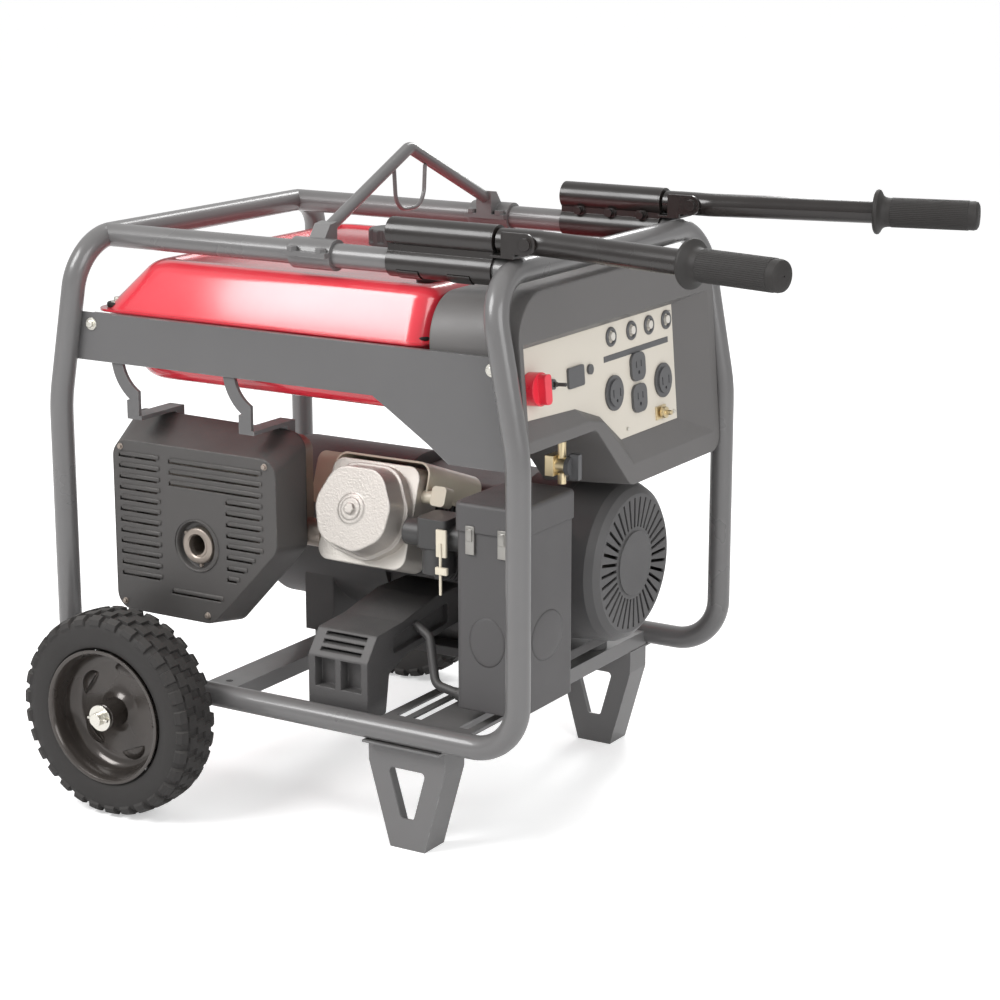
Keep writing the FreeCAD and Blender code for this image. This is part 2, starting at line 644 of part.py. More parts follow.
# ================================================================ lifting hanger
def hanger():
    foot_y = HANGER_FOOT_Y
    path = [(HANGER_X, -foot_y, HANGER_FOOT_Z), (HANGER_X, 0, HANGER_TOP_Z), (HANGER_X, foot_y, HANGER_FOOT_Z)]
    bar = tube_pieces(path, [HANGER_BEND_R], HANGER_BAR_R)
    slope = (HANGER_TOP_Z - HANGER_FOOT_Z) / foot_y
    # Wire loop under the apex, for a shackle or a safety line.
    reach = 34
    join_z = HANGER_TOP_Z - slope * reach - HANGER_BAR_R - 1
    low = join_z - 50
    loop_path = [(HANGER_X, -reach, join_z), (HANGER_X, -reach + 4, low), (HANGER_X, reach - 4, low),
                 (HANGER_X, reach, join_z)]
    loop = fused(tube_pieces(loop_path, [LOOP_R, LOOP_R], LOOP_WIRE_R)).cut(fused(bar))
    loop = largest(loop)
    nodes["lifting_hanger"] = group(bar + [loop])

    half = CLAMP_LENGTH / 2
    outer = FRAME_TUBE_R + CLAMP_WALL
    block = box(HANGER_X - half, HANGER_X + half, -TOP_RAIL_Y - 26, -TOP_RAIL_Y + 26,
                TOP_TUBE_Z - 1, TOP_TUBE_Z + 5)
    shell = cylinder((HANGER_X - half, -TOP_RAIL_Y, TOP_TUBE_Z), (1, 0, 0), outer, CLAMP_LENGTH)
    socket = prism_x([(-TOP_RAIL_Y - 12, TOP_TUBE_Z), (-TOP_RAIL_Y + 26, TOP_TUBE_Z),
                      (-HANGER_FOOT_Y + 2, HANGER_FOOT_Z + 8), (-HANGER_FOOT_Y - 12, HANGER_FOOT_Z + 6)],
                     HANGER_X - 11, HANGER_X + 11)
    clamp = fused([block, shell, socket])
    rail = cylinder((HANGER_X - 2 * half, -TOP_RAIL_Y, TOP_TUBE_Z), (1, 0, 0), FRAME_TUBE_R, 4 * half)
    clamp = clamp.cut([rail] + bar)
    clamp = largest(clamp)
    bolts = [bolt((HANGER_X + dx, -TOP_RAIL_Y + dy, TOP_TUBE_Z + 5), (0, 0, -1), 3, 5.5, 6.5, 5)
             for dx in (-20, 20) for dy in (-21, 21)]
    heads = [piece.cut(clamp) for piece in bolts]
    pieces = [clamp] + [largest(piece) for piece in heads]
    nodes["hanger_clamps"] = group(pieces + [mirrored(piece) for piece in pieces])


# ================================================================ fuel tank
def tank_shell(wall):
    """Upper and lower pressings joined at the seam; wall shrinks the shape for the hollow."""
    def slab(z, x0, x1, half):
        return rounded_wire([V(x, y, z) for x, y in rectangle(x0 + wall, x1 - wall, -half + wall,
                                                              half - wall)], 22)
    seam = slab(TANK_SEAM_Z, TANK_LEFT_X, TANK_RIGHT_X, TANK_HALF_WIDTH)
    top = slab(TANK_TOP_Z - wall, TANK_LEFT_X + 62, TANK_RIGHT_X, TANK_HALF_WIDTH - 24)
    low = slab(TANK_BOTTOM_Z + wall, TANK_LEFT_X + 56, TANK_RIGHT_X - 30, TANK_HALF_WIDTH - 10)
    return fused([Part.makeLoft([seam, top], True, True), Part.makeLoft([low, seam], True, True)])


def tank():
    shell = tank_shell(0)
    flange_x0 = -leg_x(TANK_SEAM_Z) + FRAME_TUBE_R + 1
    flange = prism_z(rectangle(flange_x0, TANK_RIGHT_X + 4, -TANK_HALF_WIDTH - FLANGE_OUT,
                               TANK_HALF_WIDTH + FLANGE_OUT), TANK_SEAM_Z - 1.5, TANK_SEAM_Z + 1.5, 16)
    neck = cylinder((CAP_X, CAP_Y, TANK_TOP_Z - 4), (0, 0, 1), NECK_R, 10)
    body = fused([shell, flange, neck])
    hollow = tank_shell(TANK_WALL)
    mouth = cylinder((CAP_X, CAP_Y, TANK_TOP_Z - 20), (0, 0, 1), NECK_R - 2, 40)
    nodes["fuel_tank"] = body.cut([hollow, mouth])

    # The cap closes over the neck with a small working gap.
    base_z = TANK_TOP_Z + 0.4
    lid = cylinder((CAP_X, CAP_Y, base_z), (0, 0, 1), CAP_R, CAP_HEIGHT)
    lid = lid.makeFillet(3, [edge for edge in lid.Edges if edge.BoundBox.ZMin > base_z + 1
                             and len(edge.Vertexes) == 1])
    lid = lid.cut(cylinder((CAP_X, CAP_Y, base_z), (0, 0, 1), NECK_R + 0.4, 6.2))
    notches = [cylinder((CAP_X + (CAP_R + 3) * math.cos(k * math.pi / 6),
                         CAP_Y + (CAP_R + 3) * math.sin(k * math.pi / 6), base_z + 4), (0, 0, 1), 6,
                        CAP_HEIGHT) for k in range(12)]
    nodes["fuel_cap"] = lid.cut(notches)


def side_panels():
    """Pressed panels welded between the legs, carrying the tank flange."""
    y1 = -SIDE_PANEL_Y + SHEET
    reach = FRAME_HALF_LENGTH + 4
    outline = [(-reach, SIDE_PANEL_TOP_Z), (reach, SIDE_PANEL_TOP_Z), (reach, SIDE_PANEL_DROP_Z),
               (232, SIDE_PANEL_DROP_Z), (206, 489), (152, 524), (130, SIDE_PANEL_BOTTOM_Z),
               (-reach, SIDE_PANEL_BOTTOM_Z)]
    panel = prism_y(outline, -SIDE_PANEL_Y, y1)
    ledge = box(-280, 280, y1, y1 + 7, SIDE_PANEL_TOP_Z - SHEET, SIDE_PANEL_TOP_Z - 0.6)
    panel = fused([panel, ledge])
    panel = largest(panel.cut([hoop_blank(1), hoop_blank(-1)]))
    nodes["side_panel_left"] = panel
    nodes["side_panel_right"] = mirrored(panel)


# ================================================================ muffler
def muffler_outline(grow=0.0):
    x0 = MUFFLER_X0 + 4 - grow
    x1 = MUFFLER_X1 + grow
    z0 = MUFFLER_Z0 + 8 - grow
    z1 = MUFFLER_Z1 + grow
    return [(x0, z0), (x1 - 100, z0), (x1, z0 + 108), (x1, z1 - 4), (x0, z1)]


def shield_front(wall=0.0):
    """The shield's front face is smaller than its back edge, so its sides slope."""
    back = muffler_outline(4 - wall)
    steps = [(10, 8), (-4, 8), (-6, 4), (-6, -25), (10, -29)]
    return [(x + dx, z + dz) for (x, z), (dx, dz) in zip(back, steps)]


def muffler():
    body = prism_y(muffler_outline(-MUFFLER_INSET), MUFFLER_FRONT_Y, MUFFLER_BACK_Y, 18)
    inside = prism_y(muffler_outline(-MUFFLER_INSET - 3), MUFFLER_FRONT_Y + 3, MUFFLER_BACK_Y - 3, 15)
    pipe_start = MUFFLER_X1 - 20
    pipe_length = CYLINDER_X - HEAD_HALF - pipe_start
    body = fused([body, cylinder((pipe_start, EXHAUST_Y, EXHAUST_Z), (1, 0, 0), EXHAUST_R, pipe_length)])
    body = body.cut([inside, cylinder((pipe_start - 10, EXHAUST_Y, EXHAUST_Z), (1, 0, 0), EXHAUST_R - 4, 80)])
    outlet_hole = cylinder((OUTLET_X, MUFFLER_FRONT_Y - 1, OUTLET_Z), (0, 1, 0), OUTLET_BORE, 10)
    body = body.cut(outlet_hole)

    def skin(wall, front_y, back_y):
        rings = [(muffler_outline(4 - wall), back_y, 22 - wall), (shield_front(wall), front_y, 22 - wall)]
        wires = [rounded_wire([V(x, y, z) for x, z in outline], corner) for outline, y, corner in rings]
        return Part.makeLoft(wires, True, True)

    shield = skin(0, SHIELD_FRONT_Y, SHIELD_BACK_Y).cut(
        skin(SHIELD_WALL, SHIELD_FRONT_Y + SHIELD_WALL, SHIELD_BACK_Y + 0.1))
    shield = shield.cut(cylinder((OUTLET_X, SHIELD_FRONT_Y - 1, OUTLET_Z), (0, 1, 0), OUTLET_R + 10, 6))
    louvres = []

    def louvre(x0, x1, row):
        z = LOUVRE_TOP_Z - LOUVRE_PITCH * row
        louvres.append(box(x0, x1, SHIELD_FRONT_Y - 1, SHIELD_FRONT_Y + 3, z, z + LOUVRE_HEIGHT))

    for row in range(12):
        louvre(-255, -197, row)
        if row < 3:
            louvre(-178, -43, row)
        elif row < 11:
            louvre(-93, -43 - max(0, row - 7) * 12, row)
    louvre(-178, -104, 12)
    nodes["muffler_shield"] = largest(shield.cut(louvres))

    tip_length = MUFFLER_FRONT_Y - SHIELD_FRONT_Y - 3
    tip = fused([ring((OUTLET_X, MUFFLER_FRONT_Y, OUTLET_Z), (0, -1, 0), OUTLET_R, OUTLET_BORE, tip_length),
                 ring((OUTLET_X, MUFFLER_FRONT_Y, OUTLET_Z), (0, -1, 0), OUTLET_R + 7, OUTLET_BORE, 3)])
    nodes["muffler"] = group([body, tip])

    stays = []
    for x in (-252, -84):
        outer_r = 62
        y0 = -SIDE_PANEL_Y + SHEET
        top = SIDE_PANEL_BOTTOM_Z + 24
        arc = ring((x + outer_r, y0, 546), (0, 1, 0), outer_r, outer_r - 16, 5)
        arc = arc.common(box(x, x + 40, y0, y0 + 5, 480, 546))
        strap = fused([arc, box(x, x + 16, y0, y0 + 5, 546, top)])
        over_z = MUFFLER_Z1 + 5
        leg = box(x + 22, x + 40, y0, y0 + 5, over_z, 494)
        over = box(x + 22, x + 44, y0, EXHAUST_Y, over_z, over_z + 5)
        down = box(x + 22, x + 44, SHIELD_BACK_Y + 2, EXHAUST_Y, MUFFLER_Z1 - MUFFLER_INSET - 4, over_z + 5)
        body_blank = prism_y(muffler_outline(-MUFFLER_INSET), MUFFLER_FRONT_Y, MUFFLER_BACK_Y, 18)
        stays.append(largest(fused([strap, leg, over, down]).cut(body_blank)))
    nodes["muffler_stays"] = group(stays)


# ================================================================ engine
def tilt(shape):
    """Turn a piece built along -Y from the crank axis up to the cylinder's slope."""
    turned_shape = shape.copy()
    turned_shape.rotate(V(0, CRANK_Y, CRANK_Z), V(1, 0, 0), -CYLINDER_TILT)
    return turned_shape


def engine():
    y = CRANK_Y
    z = CRANK_Z
    base_z = RAIL_TOP_Z + RUBBER_HEIGHT
    case = prism_x(rectangle(y - CASE_HALF, y + CASE_HALF, base_z + 10, z + 88), CASE_X0, CASE_X1, 34)
    plate = box(CASE_X0, RAIL_FRONT_X + 26, y - 96, y + 96, base_z, base_z + 12)
    case = fused([case, plate])
    inside = prism_x(rectangle(y - 82, y + 82, base_z + 18, z + 82), CASE_X0 + CASE_WALL,
                     CASE_X1 - CASE_WALL, 28)
    shaft_hole = cylinder((CASE_X0 - 1, y, z), (1, 0, 0), SHAFT_R + RUNNING_FIT, CASE_X1 - CASE_X0 + 2)
    case = case.cut([inside, shaft_hole])
    barrel_y = y - BARREL_START
    deck = y - HEAD_START
    core = prism_y([(CYLINDER_X - 46, z - 44), (CYLINDER_X + 46, z - 44), (CYLINDER_X + 46, z + 44),
                    (CYLINDER_X - 46, z + 44)], deck, y - 60, 10)
    fins = []
    count = int((HEAD_START - BARREL_START) / FIN_PITCH)
    for k in range(count):
        start = barrel_y - k * FIN_PITCH
        fins.append(prism_y(rectangle(CYLINDER_X - HEAD_HALF, CYLINDER_X + HEAD_HALF, z - HEAD_HALF,
                                      z + HEAD_HALF - 6), start - FIN_THICK, start, 14))
    barrel = tilt(fused([core] + fins)).cut(
        prism_x(rectangle(y - CASE_HALF, y + CASE_HALF, base_z + 10, z + 88), CASE_X0, CASE_X1, 34))
    barrel = largest(barrel)
    head = prism_y(rectangle(CYLINDER_X - HEAD_HALF, CYLINDER_X + HEAD_HALF, z - HEAD_HALF, z + HEAD_HALF),
                   y - COVER_START, deck, 16)
    nodes["crankcase"] = case
    nodes["cylinder_barrel"] = barrel
    nodes["cylinder_head"] = tilt(head)

    rocker = [(-38, 58), (38, 58), (62, 10), (58, -34), (16, -59), (-44, -46), (-62, 4)]
    wide = prism_y([(CYLINDER_X + a, z + b) for a, b in rocker], y - COVER_START - 12, y - COVER_START, 34)
    dome = Part.makeLoft([
        rounded_wire([V(CYLINDER_X + 0.93 * a, y - COVER_START - 12, z + 0.93 * b) for a, b in rocker], 32),
        rounded_wire([V(CYLINDER_X + 0.86 * a, y - COVER_END, z + 0.86 * b) for a, b in rocker], 30)], True)
    boss = turned([(0, 0), (0, 19), (1.5, 17), (1.5, 13.5), (3, 13), (3, 0)],
                  (CYLINDER_X, y - COVER_END, z), (0, -1, 0))
    centre_bolt = bolt((CYLINDER_X, y - COVER_END - 3, z), (0, 1, 0), 3, 3, 7, 4)
    nodes["rocker_cover"] = tilt(fused([wide, dome, boss, centre_bolt]))

    shroud_out = prism_y(rectangle(CYLINDER_X - HEAD_HALF - 6, CYLINDER_X + HEAD_HALF + 6, z + 20,
                                   z + HEAD_HALF + 8), deck - 34, barrel_y - 16, 16)
    shroud_in = prism_y(rectangle(CYLINDER_X - HEAD_HALF - 3.5, CYLINDER_X + HEAD_HALF + 3.5, z + 10,
                                  z + HEAD_HALF + 5.5), deck - 35, barrel_y + 1, 14)
    cap_y = y - COVER_START + 18
    plug = fused([cylinder((CYLINDER_X + HEAD_HALF, cap_y, z + 30), (1, 0, 0), 8, 16),
                  prism_y(rectangle(CYLINDER_X + HEAD_HALF + 14, CYLINDER_X + HEAD_HALF + 34, z + 20, z + 44),
                          cap_y - 9, cap_y + 9, 5)])
    nodes["spark_plug_cap"] = tilt(plug)
    shroud = shroud_out.cut([shroud_in, box(-300, 300, -400, 400, z, z + 26), plug])
    left = CYLINDER_X - HEAD_HALF
    plate = prism_y(rectangle(left - 54, left - 3.5, z + 4, z + HEAD_HALF + 8), deck - 2, deck, 12)
    nodes["head_shroud"] = tilt(fused([largest(shroud), plate]))


def blower_and_recoil():
    y = CRANK_Y
    z = CRANK_Z
    outer = turned([(0, 0), (0, RECOIL_R + 4), (BLOWER_X1 - CASE_X1, RECOIL_R + 4),
                    (BLOWER_X1 - CASE_X1, 0)], (CASE_X1, y, z), (1, 0, 0))
    inner = turned([(COVER_WALL, 0), (COVER_WALL, RECOIL_R + 1), (BLOWER_X1 - CASE_X1 + 1, RECOIL_R + 1),
                    (BLOWER_X1 - CASE_X1 + 1, 0)], (CASE_X1, y, z), (1, 0, 0))
    hole = cylinder((CASE_X1 - 1, y, z), (1, 0, 0), SHAFT_R + RUNNING_FIT, 10)
    plate_box = box(CASE_X1 - 1, RAIL_FRONT_X + 27, y - 97, y + 97, 0, RAIL_TOP_Z + RUBBER_HEIGHT + 12)
    nodes["blower_housing"] = outer.cut([inner, hole, plate_box])

    depth = RECOIL_X - BLOWER_X1
    wall = COVER_WALL
    skin = turned([(0, RECOIL_R + 4), (depth - 16, RECOIL_R), (depth - 6, RECOIL_R - 5),
                   (depth, GRILLE_R), (depth, 0), (depth - wall, 0), (depth - wall, GRILLE_R - 1),
                   (depth - 8, RECOIL_R - 9), (depth - 17, RECOIL_R - wall), (0, RECOIL_R + 1)],
                  (BLOWER_X1, y, z), (1, 0, 0))
    slots = []
    for k in range(GRILLE_SLOTS):
        slot = box(RECOIL_X - wall - 1, RECOIL_X + 1, y + GRILLE_HUB_R + 5, y + GRILLE_R - 4, z - 2, z + 2)
        slot.rotate(V(0, y, z), V(1, 0, 0), 360.0 * k / GRILLE_SLOTS)
        slots.append(slot)
    skin = skin.cut(slots)
    hub = cylinder((RECOIL_X - 0.01, y, z), (1, 0, 0), GRILLE_HUB_R, 2)
    nodes["recoil_cover"] = fused([skin, hub])

    # T-shaped starter grip resting on the side of the blower housing.
    grip_y = y - RECOIL_R - 26
    grip_z = z + 52
    bar = cylinder((272, grip_y, grip_z - 32), (0, 0, 1), 8, 64)
    stem = cylinder((254, grip_y, grip_z), (1, 0, 0), 6, 14)
    nodes["recoil_handle"] = fused([bar, stem])
    guide = cylinder((240, grip_y, grip_z), (1, 0, 0), 9, 13.7)
    arm = box(240, 252, grip_y, y - RECOIL_R + 18, grip_z - 8, grip_z + 8)
    arm = arm.cut(turned([(-10, 0), (-10, RECOIL_R + 4), (60, RECOIL_R + 4), (60, 0)],
                         (CASE_X1 + 20, y, z), (1, 0, 0)))
    arm = arm.cut(cylinder((230, y, z), (1, 0, 0), RECOIL_R + 4.2, 30))
    nodes["blower_housing"] = group([nodes["blower_housing"], fused([guide] + arm.Solids)])


def rotating_parts():
    y = CRANK_Y
    z = CRANK_Z
    end = RECOIL_X - COVER_WALL - 8
    shaft = cylinder((ALTERNATOR_X0 + 12, y, z), (1, 0, 0), SHAFT_R, end - ALTERNATOR_X0 - 12)
    web_x = (CYLINDER_X - 26, CYLINDER_X + 12)
    webs = [cylinder((x, y, z), (1, 0, 0), 60, 14) for x in web_x]
    nodes["crankshaft"] = fused([shaft] + webs)
    disc = cylinder((CASE_X1 + 14, y, z), (1, 0, 0), FLYWHEEL_R - 20, 40)
    hub = cylinder((CASE_X1 + 14, y, z), (1, 0, 0), 34, 70)
    vanes = []
    for k in range(18):
        vane = box(CASE_X1 + 14, CASE_X1 + 66, y + 40, y + FLYWHEEL_R, z - 1.5, z + 1.5)
        vane.rotate(V(0, y, z), V(1, 0, 0), 20.0 * k)
        vanes.append(vane)
    nodes["flywheel"] = fused([disc, hub] + vanes).cut(
        cylinder((CASE_X1, y, z), (1, 0, 0), SHAFT_R, 120))

    start = ALTERNATOR_X0
    length = CASE_X0 - start
    house = cylinder((start, y, z), (1, 0, 0), ALTERNATOR_R, length)
    foot_low = RAIL_TOP_Z + RUBBER_HEIGHT
    foot_block = box(RAIL_REAR_X - 22, RAIL_REAR_X + 22, y - 90, y + 90, foot_low, z - 40)
    house = fused([house, foot_block])
    hollow = turned([(10, 0), (10, ALTERNATOR_R - 24), (40, ALTERNATOR_R - 24), (40, ROTOR_R + AIR_GAP),
                     (length - 30, ROTOR_R + AIR_GAP), (length - 30, ALTERNATOR_R - 24),
                     (length - 8, ALTERNATOR_R - 24), (length - 8, SHAFT_R + RUNNING_FIT),
                     (length + 1, SHAFT_R + RUNNING_FIT), (length + 1, 0)], (start, y, z), (1, 0, 0))
    nodes["alternator_stator"] = house.cut(hollow)
    nodes["alternator_rotor"] = ring((start + 42, y, z), (1, 0, 0), ROTOR_R, SHAFT_R, length - 76)


def carburettor():
    x = 172
    y = -172
    z = 364
    body = fused([cylinder((CYLINDER_X + HEAD_HALF + 2, y, z), (1, 0, 0), 16, 84),
                  prism_z(rectangle(x - 18, x + 22, y - 22, y + 22), z - 12, z + 24, 5),
                  cylinder((x, y, z - 44), (0, 0, 1), 20, 34),
                  cylinder((x, y, z - 52), (0, 0, 1), 6, 10)])
    nodes["carburettor"] = body.cut(nodes["cylinder_head"]).cut(nodes["spark_plug_cap"])


def air_cleaner():
    x0, x1 = AIR_CASE_X0, AIR_CASE_X1
    y0, y1 = AIR_CASE_Y0, AIR_CASE_Y1
    seam = AIR_CASE_Z1 - AIR_LID
    outline = rectangle(x0, x1, y0, y1)
    case = prism_z(outline, AIR_CASE_Z0, seam, 10)
    case = case.cut(prism_z(rectangle(x0 + 2.5, x1 - 2.5, y0 + 2.5, y1 - 2.5), AIR_CASE_Z0 + 2.5,
                            seam + 1, 8))
    inlet = cylinder((x0 - 1, -172, 364), (1, 0, 0), 16, 8)
    nodes["air_cleaner_case"] = case.cut(inlet)
    lid = prism_z(rectangle(x0 - 2, x1 + 2, y0 - 2, y1 + 2), seam, AIR_CASE_Z1, 11)
    lid = lid.makeFillet(5, [edge for edge in lid.Edges if edge.BoundBox.ZMin > AIR_CASE_Z1 - 0.5])
    nodes["air_cleaner_lid"] = lid


def fuel_valve():
    y = -95
    z = 447
    body = fused([cylinder((286, y, z), (1, 0, 0), 10, 14), cylinder((292, y, z - 22), (0, 0, 1), 5, 50),
                  box(276, 287, y - 12, y + 12, z - 12, z + 12)])
    knob = fused([cylinder((300.4, y, z), (1, 0, 0), 12, 6), box(304, 316, y - 4, y + 4, z - 15, z + 15)])
    nodes["fuel_valve_body"] = body
    nodes["fuel_valve_knob"] = knob


def oil_cap():
    x, z = 140, 208
    y = CRANK_Y - 88
    neck = cylinder((x, y, z), (0, -1, 0), 12, 12)
    nodes["crankcase"] = group([fused([nodes["crankcase"], neck]), engine_bracket(),
                                 drain_pipe()])
    grip = box(x - 14, x + 14, y - 30, y - 20, z - 4, z + 4)
    cap = fused([cylinder((x, y - 12.4, z), (0, -1, 0), 16, 10), grip])
    nodes["oil_filler_cap"] = cap


# ================================================================ control box
def lean(shape):
    """Lay a piece built on an upright panel back to the panel's slope."""
    leaning = shape.copy()
    leaning.rotate(V(PANEL_X, 0, PANEL_Z), V(0, 1, 0), -PANEL_LEAN)
    return leaning


BOX_HALF = FRAME_HALF_WIDTH - FRAME_TUBE_R - 2.5
PLATE_LEFT = 8.0 - BOX_HALF
BOX_OUTLINE = [(-BOX_HALF, 488), (-76, 488), (-2, 407), (BOX_HALF, 407), (BOX_HALF, 664), (-BOX_HALF, 664)]
BOX_RADII = [10, 20, 20, 22, 58, 58]
PLATE_OUTLINE = [(PLATE_LEFT, 602), (PLATE_LEFT, 522), (-100, 516), (-44, 497), (4, 461), (147, 461),
                 (147, 602)]
RIM_OUTLINE = [(PLATE_LEFT, 610), (PLATE_LEFT, 500), (-92, 500), (-58, 494), (8, 430), (BOX_HALF - 12, 430),
               (BOX_HALF - 12, 610)]


def shrunk(outline, by):
    """The outline moved towards its middle by a margin."""
    mid_a = sum(a for a, b in outline) / len(outline)
    mid_b = sum(b for a, b in outline) / len(outline)
    return [(a - math.copysign(by, a - mid_a), b - math.copysign(by, b - mid_b)) for a, b in outline]


def control_box():
    front = PANEL_X + RIM_DEPTH
    back = PANEL_X - BOX_DEPTH
    body = prism_x(BOX_OUTLINE, back, front, BOX_RADII)
    recess = Part.makeLoft([
        Part.makePolygon([V(PANEL_X, y, z) for y, z in PLATE_OUTLINE + PLATE_OUTLINE[:1]]),
        Part.makePolygon([V(front + 0.5, y, z) for y, z in RIM_OUTLINE + RIM_OUTLINE[:1]])], True, True)
    seat = prism_x(PLATE_OUTLINE, PANEL_X - PLATE_THICK, PANEL_X)
    opening = prism_x(shrunk(PLATE_OUTLINE, 6), PANEL_X - 12, PANEL_X)
    inner = BOX_HALF - 6
    cavity = prism_x([(-inner, 496), (-72, 496), (2, 414), (inner, 414), (inner, 657), (-inner, 657)],
                     back + BOX_WALL, PANEL_X - 10, [8, 16, 16, 18, 50, 50])
    body = body.cut([recess, seat, opening, cavity])
    nodes["control_box"] = lean(body)

    plate = prism_x(PLATE_OUTLINE, PANEL_X - PLATE_THICK, PANEL_X)
    holes = [cylinder((PANEL_X - 5, y, z), (1, 0, 0), BREAKER_R + BREAKER_GAP, 10)
             for y, z in BREAKER_PLACES]
    nodes["panel_plate"] = lean(plate.cut(holes))


KNOB_PLACE = (PLATE_LEFT + 29, 556)
TOGGLE_PLACE = (PLATE_LEFT + 78, 553)
METER_PLACE = (PLATE_LEFT + 130, 553)
BREAKER_PLACES = [(-8, 586), (42, 586), (86, 586), (130, 586)]
TWIST_PLACES = [(-8, 519), (114, 514)]
DUPLEX_PLACES = [(51, 541), (51, 503)]
GROUND_PLACE = (104, 476)


def panel_fittings():
    x = PANEL_X
    y, z = KNOB_PLACE
    knob = cylinder((x + 0.4, y, z), (1, 0, 0), KNOB_R, KNOB_BASE)
    knob = fused([knob, prism_x(rectangle(y - 7, y + 7, z - KNOB_R + 2, z + KNOB_R - 2), x + KNOB_BASE,
                                x + KNOB_BASE + 10, 5)])
    nodes["engine_switch"] = lean(knob)

    y, z = TOGGLE_PLACE
    lever = turned([(0, 0), (0, 2), (2.2, 3), (4, 2.2), (14, 2.2), (15.2, 1.4), (15.2, 0)],
                   (x + 4.4, y, z), (1, 0, 0))
    lever = fused([lever, cylinder((x + 6.6, y - 2.9, z), (0, 1, 0), 1, 5.8)])
    nodes["throttle_switch"] = lean(lever)
    fixed = [ring((x, y, z), (1, 0, 0), 6, 3.4, 3.2)]
    y, z = METER_PLACE
    fixed.append(prism_x(rectangle(y - 18, y + 18, z - 12, z + 12), x, x + 3, 3))
    fixed.append(cylinder((x, y + 34, z + 3), (1, 0, 0), 6, 3))
    for y, z in TWIST_PLACES:
        face = fused([cylinder((x, y, z), (1, 0, 0), OUTLET_FACE_R, 2.5),
                      cylinder((x, y, z), (1, 0, 0), OUTLET_FACE_R - 5, 5)])
        pins = [box(x + 1, x + 6, y + dy - 1, y + dy + 1, z - 5, z + 5) for dy in (-8, 8)]
        pins.append(cylinder((x + 1, y, z - 9), (1, 0, 0), 2, 6))
        fixed.append(face.cut(pins))
    for y, z in DUPLEX_PLACES:
        face = prism_x(rectangle(y - DUPLEX_R, y + DUPLEX_R, z - DUPLEX_R, z + DUPLEX_R), x, x + 3.5, 11)
        pins = [box(x + 1, x + 6, y + dy - 1, y + dy + 1, z - 1, z + 7) for dy in (-6, 6)]
        pins.append(cylinder((x + 1, y, z - 7), (1, 0, 0), 2.4, 6))
        fixed.append(face.cut(pins))
    nodes["outlets"] = group([lean(piece) for piece in fixed])

    y, z = GROUND_PLACE
    stud = fused([box(x, x + 2, y - 12, y + 12, z - 8, z + 8), cylinder((x, y, z), (1, 0, 0), 3, 16),
                  cylinder((x + 4, y, z), (1, 0, 0), 7, 5)])
    nodes["ground_terminal"] = lean(stud)

    for number, (y, z) in enumerate(BREAKER_PLACES, 1):
        button = cylinder((x - 8, y, z), (1, 0, 0), BREAKER_R, 8 + BREAKER_TRAVEL + 2)
        button = fused([button, cylinder((x - 8, y, z), (1, 0, 0), BREAKER_R + 2, 3)])
        nodes["breaker_button_%d" % number] = lean(button)


def origin_shift():
    """How far the frame's middle lies from the middle of the whole length, along X."""
    angle = math.radians(SPLAY_DEG)
    grip_end = splay_point(HANDLE_REACH).x + (GRIP_R - 4) * math.sin(angle)
    shoulder = splay_point(HANDLE_REACH - 4).x + GRIP_R * math.sin(angle)
    front = max(grip_end, shoulder)
    back = FRAME_HALF_LENGTH + FRAME_TUBE_R
    return (back - front) / 2


def build():
    frame()
    base()
    feet()
    wheels()
    handles()
    hanger()
    tank()
    side_panels()
    muffler()
    engine()
    blower_and_recoil()
    rotating_parts()
    carburettor()
    air_cleaner()
    fuel_valve()
    oil_cap()
    control_box()
    panel_fittings()


build()
os.makedirs("parts", exist_ok=True)
for name, shape in nodes.items():
    moved = shape.copy()
    moved.translate(V(origin_shift(), 0, 0))
    if not moved.isValid():
        print("not valid:", name)
    moved.exportStep(os.path.join("parts", name + ".step"))
    print(name, len(moved.Solids), "solids,", round(moved.Volume / 1000, 1), "cm3")
print(len(nodes), "nodes")
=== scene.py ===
# %% Load the frame
import bpy, bmesh, math
from mathutils import Matrix, Vector


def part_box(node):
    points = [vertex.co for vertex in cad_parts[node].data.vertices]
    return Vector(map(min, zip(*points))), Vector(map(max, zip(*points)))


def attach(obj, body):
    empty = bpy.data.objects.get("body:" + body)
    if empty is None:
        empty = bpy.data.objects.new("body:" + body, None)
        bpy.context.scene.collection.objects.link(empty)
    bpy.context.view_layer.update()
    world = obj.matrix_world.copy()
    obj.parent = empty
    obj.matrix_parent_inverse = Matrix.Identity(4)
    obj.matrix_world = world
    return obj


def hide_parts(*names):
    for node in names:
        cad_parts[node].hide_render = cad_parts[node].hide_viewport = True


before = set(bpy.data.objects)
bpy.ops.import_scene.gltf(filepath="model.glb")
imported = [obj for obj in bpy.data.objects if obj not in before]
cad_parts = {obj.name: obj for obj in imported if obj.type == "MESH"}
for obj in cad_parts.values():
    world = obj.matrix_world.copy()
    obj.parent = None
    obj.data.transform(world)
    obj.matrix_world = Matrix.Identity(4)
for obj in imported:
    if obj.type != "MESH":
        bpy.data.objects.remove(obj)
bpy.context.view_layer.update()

# %% [markdown]
# The camera comes first, because every later choice is judged through it.  A long lens from a few
# metres away keeps the tubes of the frame almost parallel, so the shape reads clearly.  Euler angles
# are enough here: the first tips the lens from straight down to a little below level, the
# last swings it round to look at the panel end and the muffler side together.

